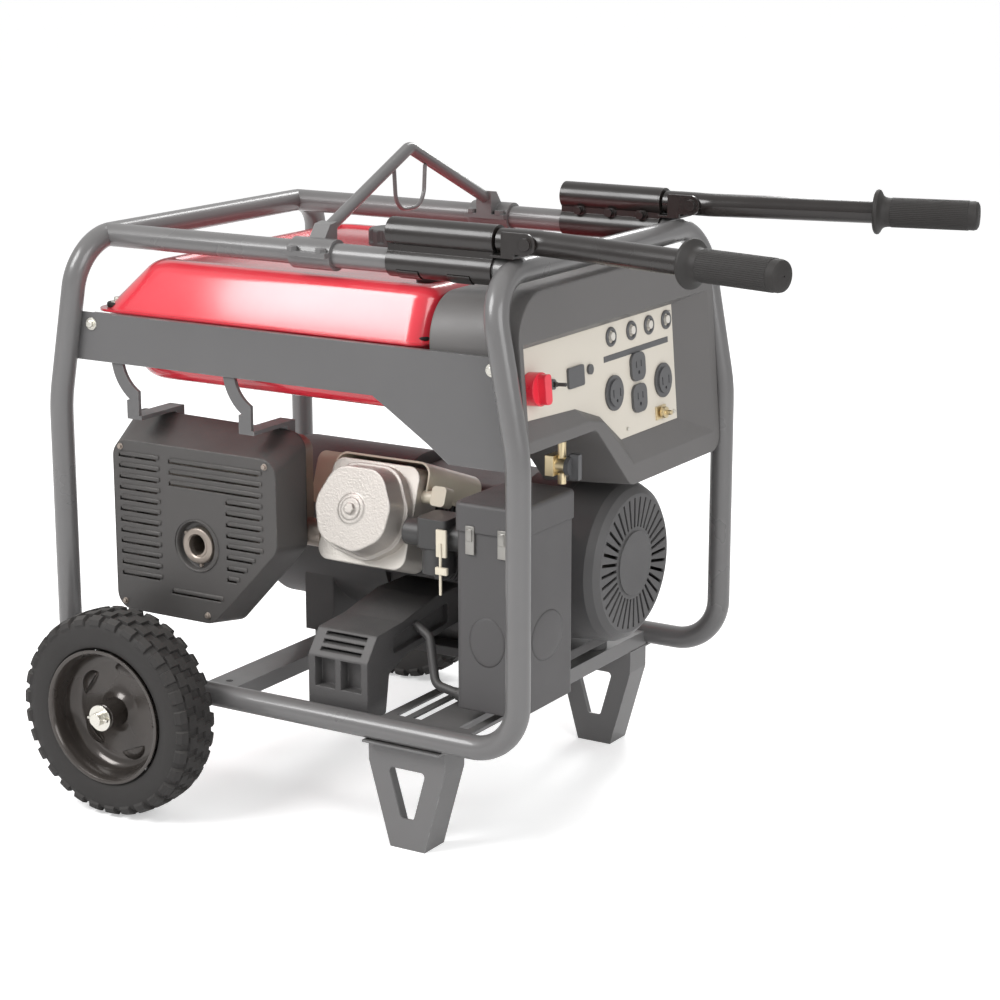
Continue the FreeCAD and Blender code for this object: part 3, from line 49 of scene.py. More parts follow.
# %% Camera
lens_mm = 90.7
camera_data = bpy.data.cameras.new("studio_camera")
camera_data.lens = lens_mm
camera_data.sensor_width = 36.0
camera = bpy.data.objects.new("studio_camera", camera_data)
camera.location = (1.552, -2.5565, 1.1104)
camera.rotation_euler = (math.radians(76.05), 0.0, math.radians(31.34))
bpy.context.collection.objects.link(camera)
bpy.context.scene.camera = camera
print("camera", tuple(round(c, 2) for c in camera.location), "lens", lens_mm)

# %% [markdown]
# A pale floor and an even white sky stand for a studio table.  Painted tubes show their shape by
# the long soft strips that they mirror, so the lights are a few large area lamps: a key over the
# left shoulder, a fill at the right and a strip behind that draws the upper edges.  The sky is a
# little dimmer for everything but the camera, so black enamel stays black under it, and the floor
# glows faintly to the camera alone, so that it meets the sky without a line.

# %% Floor, sky and lamps
bpy.context.scene.view_settings.view_transform = "Standard"
world = bpy.data.worlds.new("white_room")
world.use_nodes = True
sky = world.node_tree.nodes["Background"]
sky.inputs["Color"].default_value = (1.0, 1.0, 1.0, 1.0)
seen = world.node_tree.nodes.new("ShaderNodeLightPath")
strength = world.node_tree.nodes.new("ShaderNodeMapRange")
strength.inputs["To Min"].default_value = 0.62
strength.inputs["To Max"].default_value = 1.0
world.node_tree.links.new(seen.outputs["Is Camera Ray"], strength.inputs["Value"])
world.node_tree.links.new(strength.outputs["Result"], sky.inputs["Strength"])
bpy.context.scene.world = world
floor_mesh = bpy.data.meshes.new("floor")
bm = bmesh.new()
bmesh.ops.create_grid(bm, x_segments=1, y_segments=1, size=40.0)
bm.to_mesh(floor_mesh)
bm.free()
floor = bpy.data.objects.new("floor", floor_mesh)
bpy.context.collection.objects.link(floor)
floor_finish = bpy.data.materials.new("pale_floor")
floor_finish.use_nodes = True
floor_shader = floor_finish.node_tree.nodes["Principled BSDF"]
floor_shader.inputs["Base Color"].default_value = (0.93, 0.93, 0.93, 1.0)
floor_shader.inputs["Roughness"].default_value = 0.6
floor_tree = floor_finish.node_tree
floor_seen = floor_tree.nodes.new("ShaderNodeLightPath")
floor_glow = floor_tree.nodes.new("ShaderNodeMapRange")
floor_glow.inputs["To Max"].default_value = 0.42
floor_tree.links.new(floor_seen.outputs["Is Camera Ray"], floor_glow.inputs["Value"])
floor_tree.links.new(floor_glow.outputs["Result"], floor_shader.inputs["Emission Strength"])
floor_shader.inputs["Emission Color"].default_value = (1.0, 1.0, 1.0, 1.0)
floor_mesh.materials.append(floor_finish)


def lamp(name, place, target, size, power, tall=None):
    """A soft area lamp at place, turned to face target."""
    data = bpy.data.lights.new(name, "AREA")
    data.shape = "RECTANGLE"
    data.size = size
    data.size_y = tall or size
    data.energy = power
    made = bpy.data.objects.new(name, data)
    made.location = place
    made.rotation_euler = (Vector(target) - Vector(place)).to_track_quat("-Z", "Y").to_euler()
    bpy.context.collection.objects.link(made)


middle = (0.0, 0.0, 0.35)
lamp("key", (-1.4, -2.4, 2.6), middle, 1.6, 85)
lamp("fill", (2.6, -1.2, 1.6), middle, 1.8, 40)
lamp("back_strip", (-0.6, 2.4, 2.4), middle, 0.5, 40, 3.0)
print("floor, sky and", len(bpy.data.lights), "lamps")

# %% [markdown]
# Every real surface is uneven, so three effects are made once as node groups and reused.  The
# first gives a broad shade and a fine height from noise.  The second finds edges by comparing the
# true normal with a rounded one, which is where paint rubs thin.  The third finds faces that look
# up, where dust settles.

# %% Shared effects
def add(tree, kind, **values):
    """Add a shader node; words that are its settings are set, the rest are sockets."""
    made = tree.nodes.new(kind)
    for key, value in values.items():
        if hasattr(made, key):
            setattr(made, key, value)
        else:
            made.inputs[key.replace("_", " ")].default_value = value
    return made


def new_group(name, sockets_in, sockets_out):
    """An empty shader group with float or vector sockets."""
    tree = bpy.data.node_groups.new(name, "ShaderNodeTree")
    for label, kind in sockets_in:
        tree.interface.new_socket(name=label, in_out="INPUT", socket_type=kind)
    for label, kind in sockets_out:
        tree.interface.new_socket(name=label, in_out="OUTPUT", socket_type=kind)
    return tree, tree.nodes.new("NodeGroupInput"), tree.nodes.new("NodeGroupOutput")


FLOAT = "NodeSocketFloat"
VECTOR = "NodeSocketVector"
variation, inlet, outlet = new_group("surface_variation", [("Vector", VECTOR), ("Scale", FLOAT)],
                                     [("Shade", FLOAT), ("Height", FLOAT)])
broad = add(variation, "ShaderNodeTexNoise", Scale=7.0, Detail=4.0, Roughness=0.6)
fine = add(variation, "ShaderNodeTexNoise", Detail=3.0, Roughness=0.55)
variation.links.new(inlet.outputs["Vector"], broad.inputs["Vector"])
variation.links.new(inlet.outputs["Vector"], fine.inputs["Vector"])
variation.links.new(inlet.outputs["Scale"], fine.inputs["Scale"])
variation.links.new(broad.outputs["Fac"], outlet.inputs["Shade"])
variation.links.new(fine.outputs["Fac"], outlet.inputs["Height"])

edge_wear, inlet, outlet = new_group("edge_wear", [("Vector", VECTOR), ("Amount", FLOAT)],
                                     [("Mask", FLOAT)])
rounded = add(edge_wear, "ShaderNodeBevel", samples=4, Radius=0.0022)
true_normal = add(edge_wear, "ShaderNodeNewGeometry")
facing = add(edge_wear, "ShaderNodeVectorMath", operation="DOT_PRODUCT")
edge = add(edge_wear, "ShaderNodeMapRange", From_Min=0.985, From_Max=0.80, To_Min=0.0, To_Max=1.0)
patch = add(edge_wear, "ShaderNodeTexNoise", Scale=34.0, Detail=5.0, Roughness=0.7)
patch_range = add(edge_wear, "ShaderNodeMapRange", From_Min=0.48, From_Max=0.62)
both = add(edge_wear, "ShaderNodeMath", operation="MULTIPLY")
amount = add(edge_wear, "ShaderNodeMath", operation="MULTIPLY", use_clamp=True)
edge_wear.links.new(rounded.outputs["Normal"], facing.inputs[0])
edge_wear.links.new(true_normal.outputs["Normal"], facing.inputs[1])
edge_wear.links.new(facing.outputs["Value"], edge.inputs["Value"])
edge_wear.links.new(inlet.outputs["Vector"], patch.inputs["Vector"])
edge_wear.links.new(patch.outputs["Fac"], patch_range.inputs["Value"])
edge_wear.links.new(edge.outputs["Result"], both.inputs[0])
edge_wear.links.new(patch_range.outputs["Result"], both.inputs[1])
edge_wear.links.new(both.outputs["Value"], amount.inputs[0])
edge_wear.links.new(inlet.outputs["Amount"], amount.inputs[1])
edge_wear.links.new(amount.outputs["Value"], outlet.inputs["Mask"])

settled_dust, inlet, outlet = new_group("settled_dust", [("Vector", VECTOR), ("Amount", FLOAT)],
                                        [("Mask", FLOAT)])
upward = add(settled_dust, "ShaderNodeNewGeometry")
split = add(settled_dust, "ShaderNodeSeparateXYZ")
facing_up = add(settled_dust, "ShaderNodeMapRange", From_Min=0.2, From_Max=1.0)
cloud = add(settled_dust, "ShaderNodeTexNoise", Scale=16.0, Detail=6.0, Roughness=0.65)
dusty = add(settled_dust, "ShaderNodeMath", operation="MULTIPLY")
dust_amount = add(settled_dust, "ShaderNodeMath", operation="MULTIPLY", use_clamp=True)
settled_dust.links.new(upward.outputs["Normal"], split.inputs["Vector"])
settled_dust.links.new(split.outputs["Z"], facing_up.inputs["Value"])
settled_dust.links.new(inlet.outputs["Vector"], cloud.inputs["Vector"])
settled_dust.links.new(facing_up.outputs["Result"], dusty.inputs[0])
settled_dust.links.new(cloud.outputs["Fac"], dusty.inputs[1])
settled_dust.links.new(dusty.outputs["Value"], dust_amount.inputs[0])
settled_dust.links.new(inlet.outputs["Amount"], dust_amount.inputs[1])
settled_dust.links.new(dust_amount.outputs["Value"], outlet.inputs["Mask"])
print("groups:", [g.name for g in bpy.data.node_groups])

# %% [markdown]
# Most finishes of the machine differ only in numbers: how dark, how glossy, how coarse the grain,
# how far the edges are rubbed.  One recipe therefore mixes the shared effects into a Principled
# shader, and each finish below is that recipe with its own values.  A Bevel node feeds the bump,
# so a sharp sheet edge catches a thin line of light as a real one does.

# %% The finish recipe
def blend(tree, factor, first, second):
    """Mix two colours; each is a socket or a plain colour."""
    mix = add(tree, "ShaderNodeMix", data_type="RGBA")
    tree.links.new(factor, mix.inputs[0])
    for index, value in ((6, first), (7, second)):
        if isinstance(value, tuple):
            mix.inputs[index].default_value = (*value, 1.0)
        else:
            tree.links.new(value, mix.inputs[index])
    return mix.outputs[2]


def shaded(colour, factor):
    return tuple(min(1.0, c * factor) for c in colour)


def finish(name, colour, rough, metal=0.0, coat=0.0, grain=900.0, bump=0.06, wear=0.25,
           worn=(0.42, 0.42, 0.41), dust=0.12, edge_radius=0.0010, mottle=0.10, uneven=0.10):
    """Painted, cast, moulded or rubber surface, by its numbers."""
    material = bpy.data.materials.new(name)
    material.use_nodes = True
    tree = material.node_tree
    shader = tree.nodes["Principled BSDF"]
    place = add(tree, "ShaderNodeTexCoord").outputs["Object"]
    skin = add(tree, "ShaderNodeGroup", node_tree=variation, Scale=grain)
    tree.links.new(place, skin.inputs["Vector"])
    base = blend(tree, skin.outputs["Shade"], shaded(colour, 1 - mottle), shaded(colour, 1 + mottle))
    if wear:
        rub = add(tree, "ShaderNodeGroup", node_tree=edge_wear, Amount=wear)
        tree.links.new(place, rub.inputs["Vector"])
        base = blend(tree, rub.outputs["Mask"], base, worn)
    if dust:
        film = add(tree, "ShaderNodeGroup", node_tree=settled_dust, Amount=dust)
        tree.links.new(place, film.inputs["Vector"])
        base = blend(tree, film.outputs["Mask"], base, (0.55, 0.53, 0.50))
    tree.links.new(base, shader.inputs["Base Color"])
    gloss = add(tree, "ShaderNodeMapRange", From_Min=0.3, From_Max=0.7,
                To_Min=max(0.03, rough - uneven), To_Max=rough + uneven)
    tree.links.new(skin.outputs["Shade"], gloss.inputs["Value"])
    tree.links.new(gloss.outputs["Result"], shader.inputs["Roughness"])
    shader.inputs["Metallic"].default_value = metal
    shader.inputs["Coat Weight"].default_value = coat
    shader.inputs["Coat Roughness"].default_value = 0.12
    relief = add(tree, "ShaderNodeBump", Strength=bump, Distance=0.0006)
    if edge_radius:
        soft = add(tree, "ShaderNodeBevel", samples=4, Radius=edge_radius)
        tree.links.new(soft.outputs["Normal"], relief.inputs["Normal"])
    tree.links.new(skin.outputs["Height"], relief.inputs["Height"])
    tree.links.new(relief.outputs["Normal"], shader.inputs["Normal"])
    return material


FRAME_GREY = (0.125, 0.122, 0.122)
tube_paint = finish("tube_paint", FRAME_GREY, 0.34, coat=0.45, bump=0.08, wear=0.0, edge_radius=0.0)
frame_paint = finish("frame_paint", FRAME_GREY, 0.36, coat=0.4, bump=0.08, wear=0.5)
panel_paint = finish("side_panel_paint", (0.098, 0.096, 0.097), 0.42, coat=0.2, bump=0.10, wear=0.4,
                     edge_radius=0.0006)
box_plastic = finish("control_box_plastic", (0.115, 0.110, 0.108), 0.46, grain=1500, bump=0.18,
                     wear=0.15, edge_radius=0.0030)
handle_enamel = finish("handle_enamel", (0.013, 0.010, 0.009), 0.30, coat=0.25, bump=0.04, wear=0.2,
                       worn=(0.12, 0.10, 0.09), dust=0.04)
bar_enamel = finish("bar_enamel", (0.013, 0.010, 0.009), 0.28, coat=0.25, bump=0.04, wear=0.0,
                    dust=0.04, edge_radius=0.0)
grip_rubber = finish("grip_rubber", (0.014, 0.012, 0.011), 0.60, grain=1300, bump=0.35, wear=0.0,
                     dust=0.06)
tyre_rubber = finish("tyre_rubber", (0.020, 0.018, 0.017), 0.68, grain=700, bump=0.30, wear=0.0,
                     dust=0.14, mottle=0.25)
rim_enamel = finish("rim_enamel", (0.050, 0.042, 0.037), 0.25, metal=0.45, coat=0.4, bump=0.05,
                    wear=0.3, worn=(0.30, 0.27, 0.25), dust=0.05)
exhaust_steel = finish("exhaust_steel", (0.36, 0.31, 0.27), 0.44, metal=0.85, grain=420, bump=0.3,
                       wear=0.2, mottle=0.3)
tank_enamel = finish("tank_enamel", (0.68, 0.022, 0.042), 0.22, coat=0.9, bump=0.03, wear=0.12,
                     worn=(0.45, 0.20, 0.18), mottle=0.05, uneven=0.05, edge_radius=0.0040)
black_moulding = finish("black_moulding", (0.045, 0.044, 0.044), 0.48, grain=1500, bump=0.20,
                        wear=0.1, edge_radius=0.0024)
cleaner_moulding = finish("air_cleaner_moulding", (0.075, 0.072, 0.073), 0.50, grain=1500, bump=0.2,
                          wear=0.1, edge_radius=0.0030)
muffler_steel = finish("muffler_sheet", (0.072, 0.068, 0.066), 0.46, metal=0.25, grain=500, bump=0.2,
                       wear=0.35, worn=(0.34, 0.30, 0.27), mottle=0.22, edge_radius=0.0030)
cast_alloy = finish("cast_aluminium", (0.56, 0.53, 0.49), 0.42, metal=0.70, grain=420, bump=0.45,
                    wear=0.2, worn=(0.85, 0.84, 0.82), mottle=0.12, edge_radius=0.0026)
cover_alloy = finish("cover_alloy", (0.46, 0.43, 0.40), 0.42, metal=0.60, grain=420, bump=0.45,
                     wear=0.3, worn=(0.75, 0.73, 0.70), mottle=0.14, edge_radius=0.0030)
dark_casting = finish("dark_casting", (0.085, 0.082, 0.082), 0.55, metal=0.3, grain=420, bump=0.5,
                      wear=0.25, mottle=0.18, edge_radius=0.0026)
cream_enamel = finish("cream_enamel", (0.66, 0.60, 0.48), 0.40, coat=0.2, bump=0.08, wear=0.2)
plate_print = finish("panel_plate_enamel", (0.62, 0.575, 0.50), 0.38, coat=0.15, bump=0.05, wear=0.1,
                     dust=0.05, mottle=0.04)
clip_steel = finish("clip_steel", (0.34, 0.33, 0.31), 0.38, metal=0.9, grain=600, bump=0.12, wear=0.0,
                    mottle=0.18)
zinc_plate = finish("zinc_plate", (0.70, 0.68, 0.62), 0.30, metal=1.0, grain=600, bump=0.12,
                    wear=0.0, mottle=0.18)
brass = finish("brass_fitting", (0.74, 0.62, 0.40), 0.34, metal=1.0, bump=0.12, wear=0.0, mottle=0.2)
red_plastic = finish("red_knob_plastic", (0.74, 0.030, 0.055), 0.30, coat=0.3, bump=0.05, wear=0.0,
                     dust=0.0, edge_radius=0.0016)
white_plastic = finish("button_plastic", (0.60, 0.57, 0.52), 0.34, bump=0.05, wear=0.0, dust=0.0)
socket_plastic = finish("outlet_plastic", (0.085, 0.085, 0.088), 0.36, bump=0.10, wear=0.0, dust=0.0)
fan_plastic = finish("recoil_moulding", (0.070, 0.068, 0.069), 0.44, grain=1500, bump=0.15, wear=0.15,
                     edge_radius=0.0014)
print(len(bpy.data.materials), "finishes")

# %% [markdown]
# The tubes, sheets and castings already have their true shape in the frame model, so they keep it
# and only receive a finish.  A table of finish to node names keeps that readable.

# %% Finishes on the parts that stay
worn_by = {
    tube_paint: ["end_hoop_panel", "end_hoop_muffler", "bottom_tube_left", "bottom_tube_right",
                 "top_rail_left", "top_rail_right", "lifting_hanger"],
    frame_paint: ["base_rails", "feet", "hanger_clamps"],
    panel_paint: ["side_panel_left", "side_panel_right", "muffler_stays"],
    box_plastic: ["control_box"],
    bar_enamel: ["handle_tube_left", "handle_tube_right"],
    handle_enamel: ["saddle_left", "saddle_right", "hinge_bracket_left", "hinge_bracket_right"],
    black_moulding: ["fuel_cap", "recoil_handle", "oil_filler_cap", "carburettor", "rubber_mounts",
                     "throttle_switch"],
    cleaner_moulding: ["air_cleaner_case", "air_cleaner_lid"],
    muffler_steel: ["muffler_shield"],
    zinc_plate: ["wheel_brackets", "crankshaft"],
    dark_casting: ["crankcase", "cylinder_barrel", "alternator_stator", "alternator_rotor",
                   "flywheel", "blower_housing"],
    cream_enamel: ["head_shroud", "spark_plug_cap"],
    plate_print: ["panel_plate"],
    brass: ["fuel_valve_body", "ground_terminal"],
    red_plastic: ["engine_switch"],
    white_plastic: ["breaker_button_1", "breaker_button_2", "breaker_button_3", "breaker_button_4"],
    socket_plastic: ["outlets", "fuel_valve_knob"],
    fan_plastic: ["recoil_cover"],
    cover_alloy: ["rocker_cover"],
    cast_alloy: ["cylinder_head"],
    exhaust_steel: ["muffler"],
    tank_enamel: ["fuel_tank"],
    rim_enamel: ["wheel_rim_left", "wheel_rim_right"],
    tyre_rubber: ["tyre_left", "tyre_right"],
    grip_rubber: ["grip_left", "grip_right"],
}
for material, names in worn_by.items():
    for name in names:
        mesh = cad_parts[name].data
        mesh.materials.clear()
        mesh.materials.append(material)
left_over = set(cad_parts) - {name for names in worn_by.values() for name in names}
print("finished", sum(len(names) for names in worn_by.values()), "nodes, left over:", left_over)

# %% [markdown]
# Round pieces are lathed: a closed outline, given as pairs of distance along the axle and radius,
# is spun once around it.  The helper below does this about any line, and a second one turns a
# finished bmesh into an object that rides on a body.

# %% Lathe and finish helpers
MM = 0.001


def lathe(bm, outline, start, along, steps):
    """Spin a closed outline of (along, radius) in millimetres about the line from start."""
    axis = Vector(along).normalized()
    side = axis.orthogonal().normalized()
    start = Vector(start)
    verts = [bm.verts.new(start + axis * a * MM + side * r * MM) for a, r in outline]
    edges = [bm.edges.new((verts[i - 1], verts[i])) for i in range(len(verts))]
    bmesh.ops.spin(bm, geom=verts + edges, cent=start, axis=axis, angle=math.tau,
                   steps=steps, use_merge=True, use_duplicate=False)


def bevel(bm, edges, size, segments):
    bmesh.ops.bevel(bm, geom=list(edges), offset=size, offset_type="OFFSET", segments=segments,
                    profile=0.5, affect="EDGES", material=-1)


def block(bm, low, high, size=0.0006, segments=2, place=None):
    """A box with rounded edges between two corners, moved by a matrix if there is one."""
    verts = bmesh.ops.create_cube(bm, size=1.0)["verts"]
    for vert in verts:
        for axis in range(3):
            vert.co[axis] = high[axis] if vert.co[axis] > 0 else low[axis]
    if place:
        bmesh.ops.transform(bm, matrix=place, verts=verts)
    bevel(bm, {e for v in verts for e in v.link_edges}, size, segments)


def join_bolt(bm, place, way, size, washer=1.9):
    """A flange bolt: washer face, six sided head with its corners broken."""
    axis = Vector(way).normalized()
    turn = axis.to_track_quat("Z", "Y").to_matrix().to_4x4()
    spot = Matrix.Translation(Vector(place)) @ turn
    bmesh.ops.create_cone(bm, cap_ends=True, segments=24, radius1=size * washer,
                          radius2=size * washer * 0.94, depth=size * 0.3,
                          matrix=spot @ Matrix.Translation((0, 0, size * 0.15)))
    head = bmesh.ops.create_cone(bm, cap_ends=True, segments=6, radius1=size * 1.15,
                                 radius2=size * 1.15, depth=size,
                                 matrix=spot @ Matrix.Translation((0, 0, size * 0.8)))
    rim_edges = {e for v in head["verts"] for e in v.link_edges}
    bevel(bm, rim_edges, size * 0.10, 1)


def closed_up(bm):
    bmesh.ops.remove_doubles(bm, verts=bm.verts, dist=1e-6)
    bmesh.ops.recalc_face_normals(bm, faces=bm.faces)


def piece(name, bm, body, material, instead_of=(), smooth=35.0):
    """Make the object, shade it smooth up to an angle, and fasten it to its body."""
    mesh = bpy.data.meshes.new(name)
    bm.to_mesh(mesh)
    bm.free()
    made = bpy.data.objects.new(name, mesh)
    bpy.context.collection.objects.link(made)
    mesh.materials.append(material)
    for face in mesh.polygons:
        face.use_smooth = True
    mesh.set_sharp_from_angle(angle=math.radians(smooth))
    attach(made, body)
    if instead_of:
        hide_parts(*instead_of)
    print(name, "has", len(mesh.polygons), "faces and rides on", body)


# %% [markdown]
# Each end hoop is one tube bent in six places, so it should be one unbroken skin.  A circle is
# carried along the centre line: its edges are extruded from station to station and the new ring
# is turned with the line.  The corners of the line are arcs of a few degrees a step, and both
# ends are closed where the bottom tubes are welded on.

# %% End hoops
BEND_R = 0.060
KNEE_R = 0.200
KNEE_Z = 0.486
KNEE_LEAN = 0.0375
BEND_STEP = math.radians(4)


def centre_line(points, radii):
    """Places and directions along a line whose inner corners are arcs."""
    points = [Vector(p) for p in points]
    stations = [(points[0], (points[1] - points[0]).normalized())]
    for index, radius in enumerate(radii, start=1):
        corner = points[index]
        back = (points[index - 1] - corner).normalized()
        ahead = (points[index + 1] - corner).normalized()
        half = back.angle(ahead) / 2
        start = corner + back * (radius / math.tan(half))
        centre = corner + (back + ahead).normalized() * (radius / math.sin(half))
        sweep = math.pi - 2 * half
        axis = (start - centre).cross(-back).normalized()
        steps = math.ceil(sweep / BEND_STEP)
        for step in range(steps + 1):
            turn = Matrix.Rotation(sweep * step / steps, 3, axis)
            stations.append((centre + turn @ (start - centre), turn @ -back))
    stations.append((points[-1], (points[-1] - points[-2]).normalized()))
    return stations


def swept_tube(bm, stations, radius, around=32):
    place, way = stations[0]
    first = Matrix.Translation(place) @ way.to_track_quat("Z", "Y").to_matrix().to_4x4()
    made = bmesh.ops.create_circle(bm, cap_ends=True, segments=around, radius=radius, matrix=first)
    ring = list({e for v in made["verts"] for e in v.link_edges})
    for spot, ahead in stations[1:]:
        grown = bmesh.ops.extrude_edge_only(bm, edges=ring)["geom"]
        verts = [g for g in grown if isinstance(g, bmesh.types.BMVert)]
        ring = [g for g in grown if isinstance(g, bmesh.types.BMEdge)]
        turn = way.rotation_difference(ahead).to_matrix().to_4x4()
        move = Matrix.Translation(spot) @ turn @ Matrix.Translation(-place)
        bmesh.ops.transform(bm, matrix=move, verts=verts)
        place, way = spot, ahead
    bmesh.ops.edgenet_fill(bm, edges=ring)


tube_low, tube_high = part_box("bottom_tube_left")
tube_r = (tube_high[2] - tube_low[2]) / 2
for end, node in ((1, "end_hoop_panel"), (-1, "end_hoop_muffler")):
    low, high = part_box(node)
    leg_x = high[0] - tube_r if end > 0 else low[0] + tube_r
    half_width = high[1] - tube_r
    bottom_z = low[2] + tube_r
    top_z = high[2] - tube_r
    left = [(leg_x - end * BEND_R, -half_width, bottom_z), (leg_x, -half_width, bottom_z),
            (leg_x, -half_width, KNEE_Z), (leg_x - end * KNEE_LEAN, -half_width, top_z)]
    path = left + [(x, -y, z) for x, y, z in reversed(left)]
    bm = bmesh.new()
    swept_tube(bm, centre_line(path, [BEND_R, KNEE_R, BEND_R, BEND_R, KNEE_R, BEND_R]), tube_r)
    closed_up(bm)
    piece(node + "_tube", bm, "root", tube_paint, [node], 50.0)

# %% [markdown]
# The tyre is a solid rubber ring with a block tread.  Its smooth casing is lathed first, with the
# tread band divided into five rows.  Rows of faces are then picked in a repeating order and inset
# with a height, which raises tapered blocks and leaves the grooves between them: shoulder lugs
# that wrap over the edge, and arrow shaped blocks in the middle.

# %% Tyres
TREAD_STEPS = 90
CASING = [(24, 82), (29.5, 86), (32.4, 96), (32.9, 104), (31.5, 112), (28, 118), (20, 121.6),
          (7, 122.8)]


def tyre(side):
    low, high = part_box("tyre_" + side)
    hub = Vector(((low[0] + high[0]) / 2, (low[1] + high[1]) / 2, (low[2] + high[2]) / 2))
    bm = bmesh.new()
    outline = CASING + [(-a, r) for a, r in reversed(CASING)]
    lathe(bm, outline, hub, (0, 1, 0), TREAD_STEPS)
    closed_up(bm)
    rows = {}
    for face in bm.faces:
        centre = face.calc_center_median() - hub
        radius = math.hypot(centre.x, centre.z) * 1000
        across = centre.y * 1000
        if radius > 112:
            step = int(((math.atan2(centre.z, centre.x) + math.tau) % math.tau) / math.tau
                       * TREAD_STEPS)
            row = 0 if abs(across) < 7 else (1 if abs(across) < 20 else (2 if abs(across) < 28 else 3))
            rows[face] = (row, step + (1 if across > 0 else 0) * 2, across)
    shoulder = [f for f, (row, step, across) in rows.items() if row >= 2 and step % 3 != 0]
    arrows = [f for f, (row, step, across) in rows.items()
              if (row == 0 and step % 3 != 1) or (row == 1 and step % 3 != 2)]
    bmesh.ops.inset_region(bm, faces=shoulder, thickness=0.0012, depth=0.0042, use_even_offset=True)
    arrows = [f for f in arrows if f.is_valid]
    bmesh.ops.inset_region(bm, faces=arrows, thickness=0.0010, depth=0.0038, use_even_offset=True)
    for vert in bm.verts:
        away = vert.co - hub
        radius = math.hypot(away.x, away.z)
        if radius > 0.1268:
            away.x *= 0.1268 / radius
            away.z *= 0.1268 / radius
            vert.co = hub + away
        vert.co.y = min(max(vert.co.y, low[1]), high[1])
    piece("tread_" + side, bm, "wheel_" + side, tyre_rubber, ["tyre_" + side], 30.0)


for side in ("left", "right"):
    tyre(side)

# %% [markdown]
# The rim is two steel pressings: a barrel that the tyre sits on and a dished web with a tube for
# the axle.  Half moon scoops are pressed into the web near its edge.  They are flattened half
# spheres, cut with a plane and set round the web.

# %% Rims
BARREL = [(0.6, 83.6), (0.3, 81.5), (1.2, 79.2), (4, 77.4), (9, 76), (14, 75.2), (52, 75.2), (57, 76),
          (62, 77.4), (64.8, 79.2), (65.2, 81.5), (64.9, 83.6), (61, 82.5), (57, 79), (52, 77.4),
          (14, 77.4), (9, 79), (5, 82.5)]
WEB = [(20, 75.6), (27, 74), (32, 70.5), (35, 65), (35.8, 59), (35.8, 29), (33, 22), (29, 17.5),
       (31.5, 16.5), (35, 20), (38, 28), (38, 60), (37, 66.5), (34, 72.6), (28, 76.4), (20, 77.6)]
HUB = [(3.2, 15.6), (2.4, 14.6), (2.4, 9.4), (3.2, 8.3), (62, 8.3), (63, 9.4), (63, 14.6), (62, 15.6),
       (36, 16.6), (30, 17.6), (20, 16.4)]
SCOOPS = 5


def rim(side):
    low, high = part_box("wheel_rim_" + side)
    outward = -1 if side == "left" else 1
    face_y = low[1] if outward < 0 else high[1]
    centre = Vector(((low[0] + high[0]) / 2, face_y, (low[2] + high[2]) / 2))
    inward = (0, -outward, 0)
    bm = bmesh.new()
    for outline in (BARREL, WEB, HUB):
        lathe(bm, outline, centre, inward, 96)
    for number in range(SCOOPS):
        turn = math.tau * (number + 0.2) / SCOOPS
        made = bmesh.ops.create_uvsphere(bm, u_segments=28, v_segments=14, radius=0.0185)
        verts = made["verts"]
        bmesh.ops.scale(bm, verts=verts, vec=(1.0, 0.36, 0.80))
        faces = list({f for v in verts for f in v.link_faces})
        edges = list({e for v in verts for e in v.link_edges})
        cut = bmesh.ops.bisect_plane(bm, geom=verts + edges + faces, plane_co=(0, 0, 0.001),
                                     plane_no=(0, 0, -1), clear_outer=True)["geom_cut"]
        bmesh.ops.edgenet_fill(bm, edges=[g for g in cut if isinstance(g, bmesh.types.BMEdge)])
        kept = [v for v in bm.verts if v.co.length < 0.03]
        matrix = (Matrix.Translation(centre + Vector((0, 0.0365 * -outward, 0)))
                  @ Matrix.Rotation(turn, 4, "Y") @ Matrix.Translation((0, 0, 0.049)))
        bmesh.ops.transform(bm, matrix=matrix, verts=kept)
    closed_up(bm)
    piece("rim_" + side, bm, "wheel_" + side, rim_enamel, ["wheel_rim_" + side])


for side in ("left", "right"):
    rim(side)

# %% [markdown]
# The hand grips are moulded rubber sleeves with a stop collar at the inner end.  The collar and
# the rounded tip are one lathed outline.  Fine ribs run along the sleeve, so its side faces are
# inset one by one with a small height, which leaves a groove between each pair.

# %% Grips
SPLAY = math.radians(13.0)
GRIP_OUTLINE = [(0, 14.2), (0, 24), (1.2, 26), (3.2, 26.9), (5.4, 26.4), (7, 24.2), (9, 20.4),
                (12, 18.2), (16, 17.4), (20, 17.2), (112, 17.2), (118, 17.4), (121.6, 16.4), (123.4, 13.5),
                (124, 9), (124, 1.0), (118, 1.0), (118, 14.2)]


def grip(side):
    low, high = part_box("grip_" + side)
    out = -1 if side == "left" else 1
    way = Vector((math.cos(SPLAY), out * math.sin(SPLAY), 0))
    inner_y = (high[1] if out < 0 else low[1])
    start = Vector((low[0] + 0.027 * math.sin(SPLAY), inner_y + out * 0.027 * math.cos(SPLAY),
                    (low[2] + high[2]) / 2))
    bm = bmesh.new()
    lathe(bm, GRIP_OUTLINE, start, way, 48)
    closed_up(bm)
    ribs = []
    for face in bm.faces:
        away = face.calc_center_median() - start
        along = away.dot(way) * 1000
        radius = (away - way * away.dot(way)).length * 1000
        if 20 < along < 112 and radius > 16:
            ribs.append(face)
    bmesh.ops.inset_individual(bm, faces=ribs, thickness=0.0004, depth=0.0006, use_even_offset=True)
    piece("grip_sleeve_" + side, bm, "handle_" + side, grip_rubber, ["grip_" + side],
          28.0)


for side in ("left", "right"):
    grip(side)

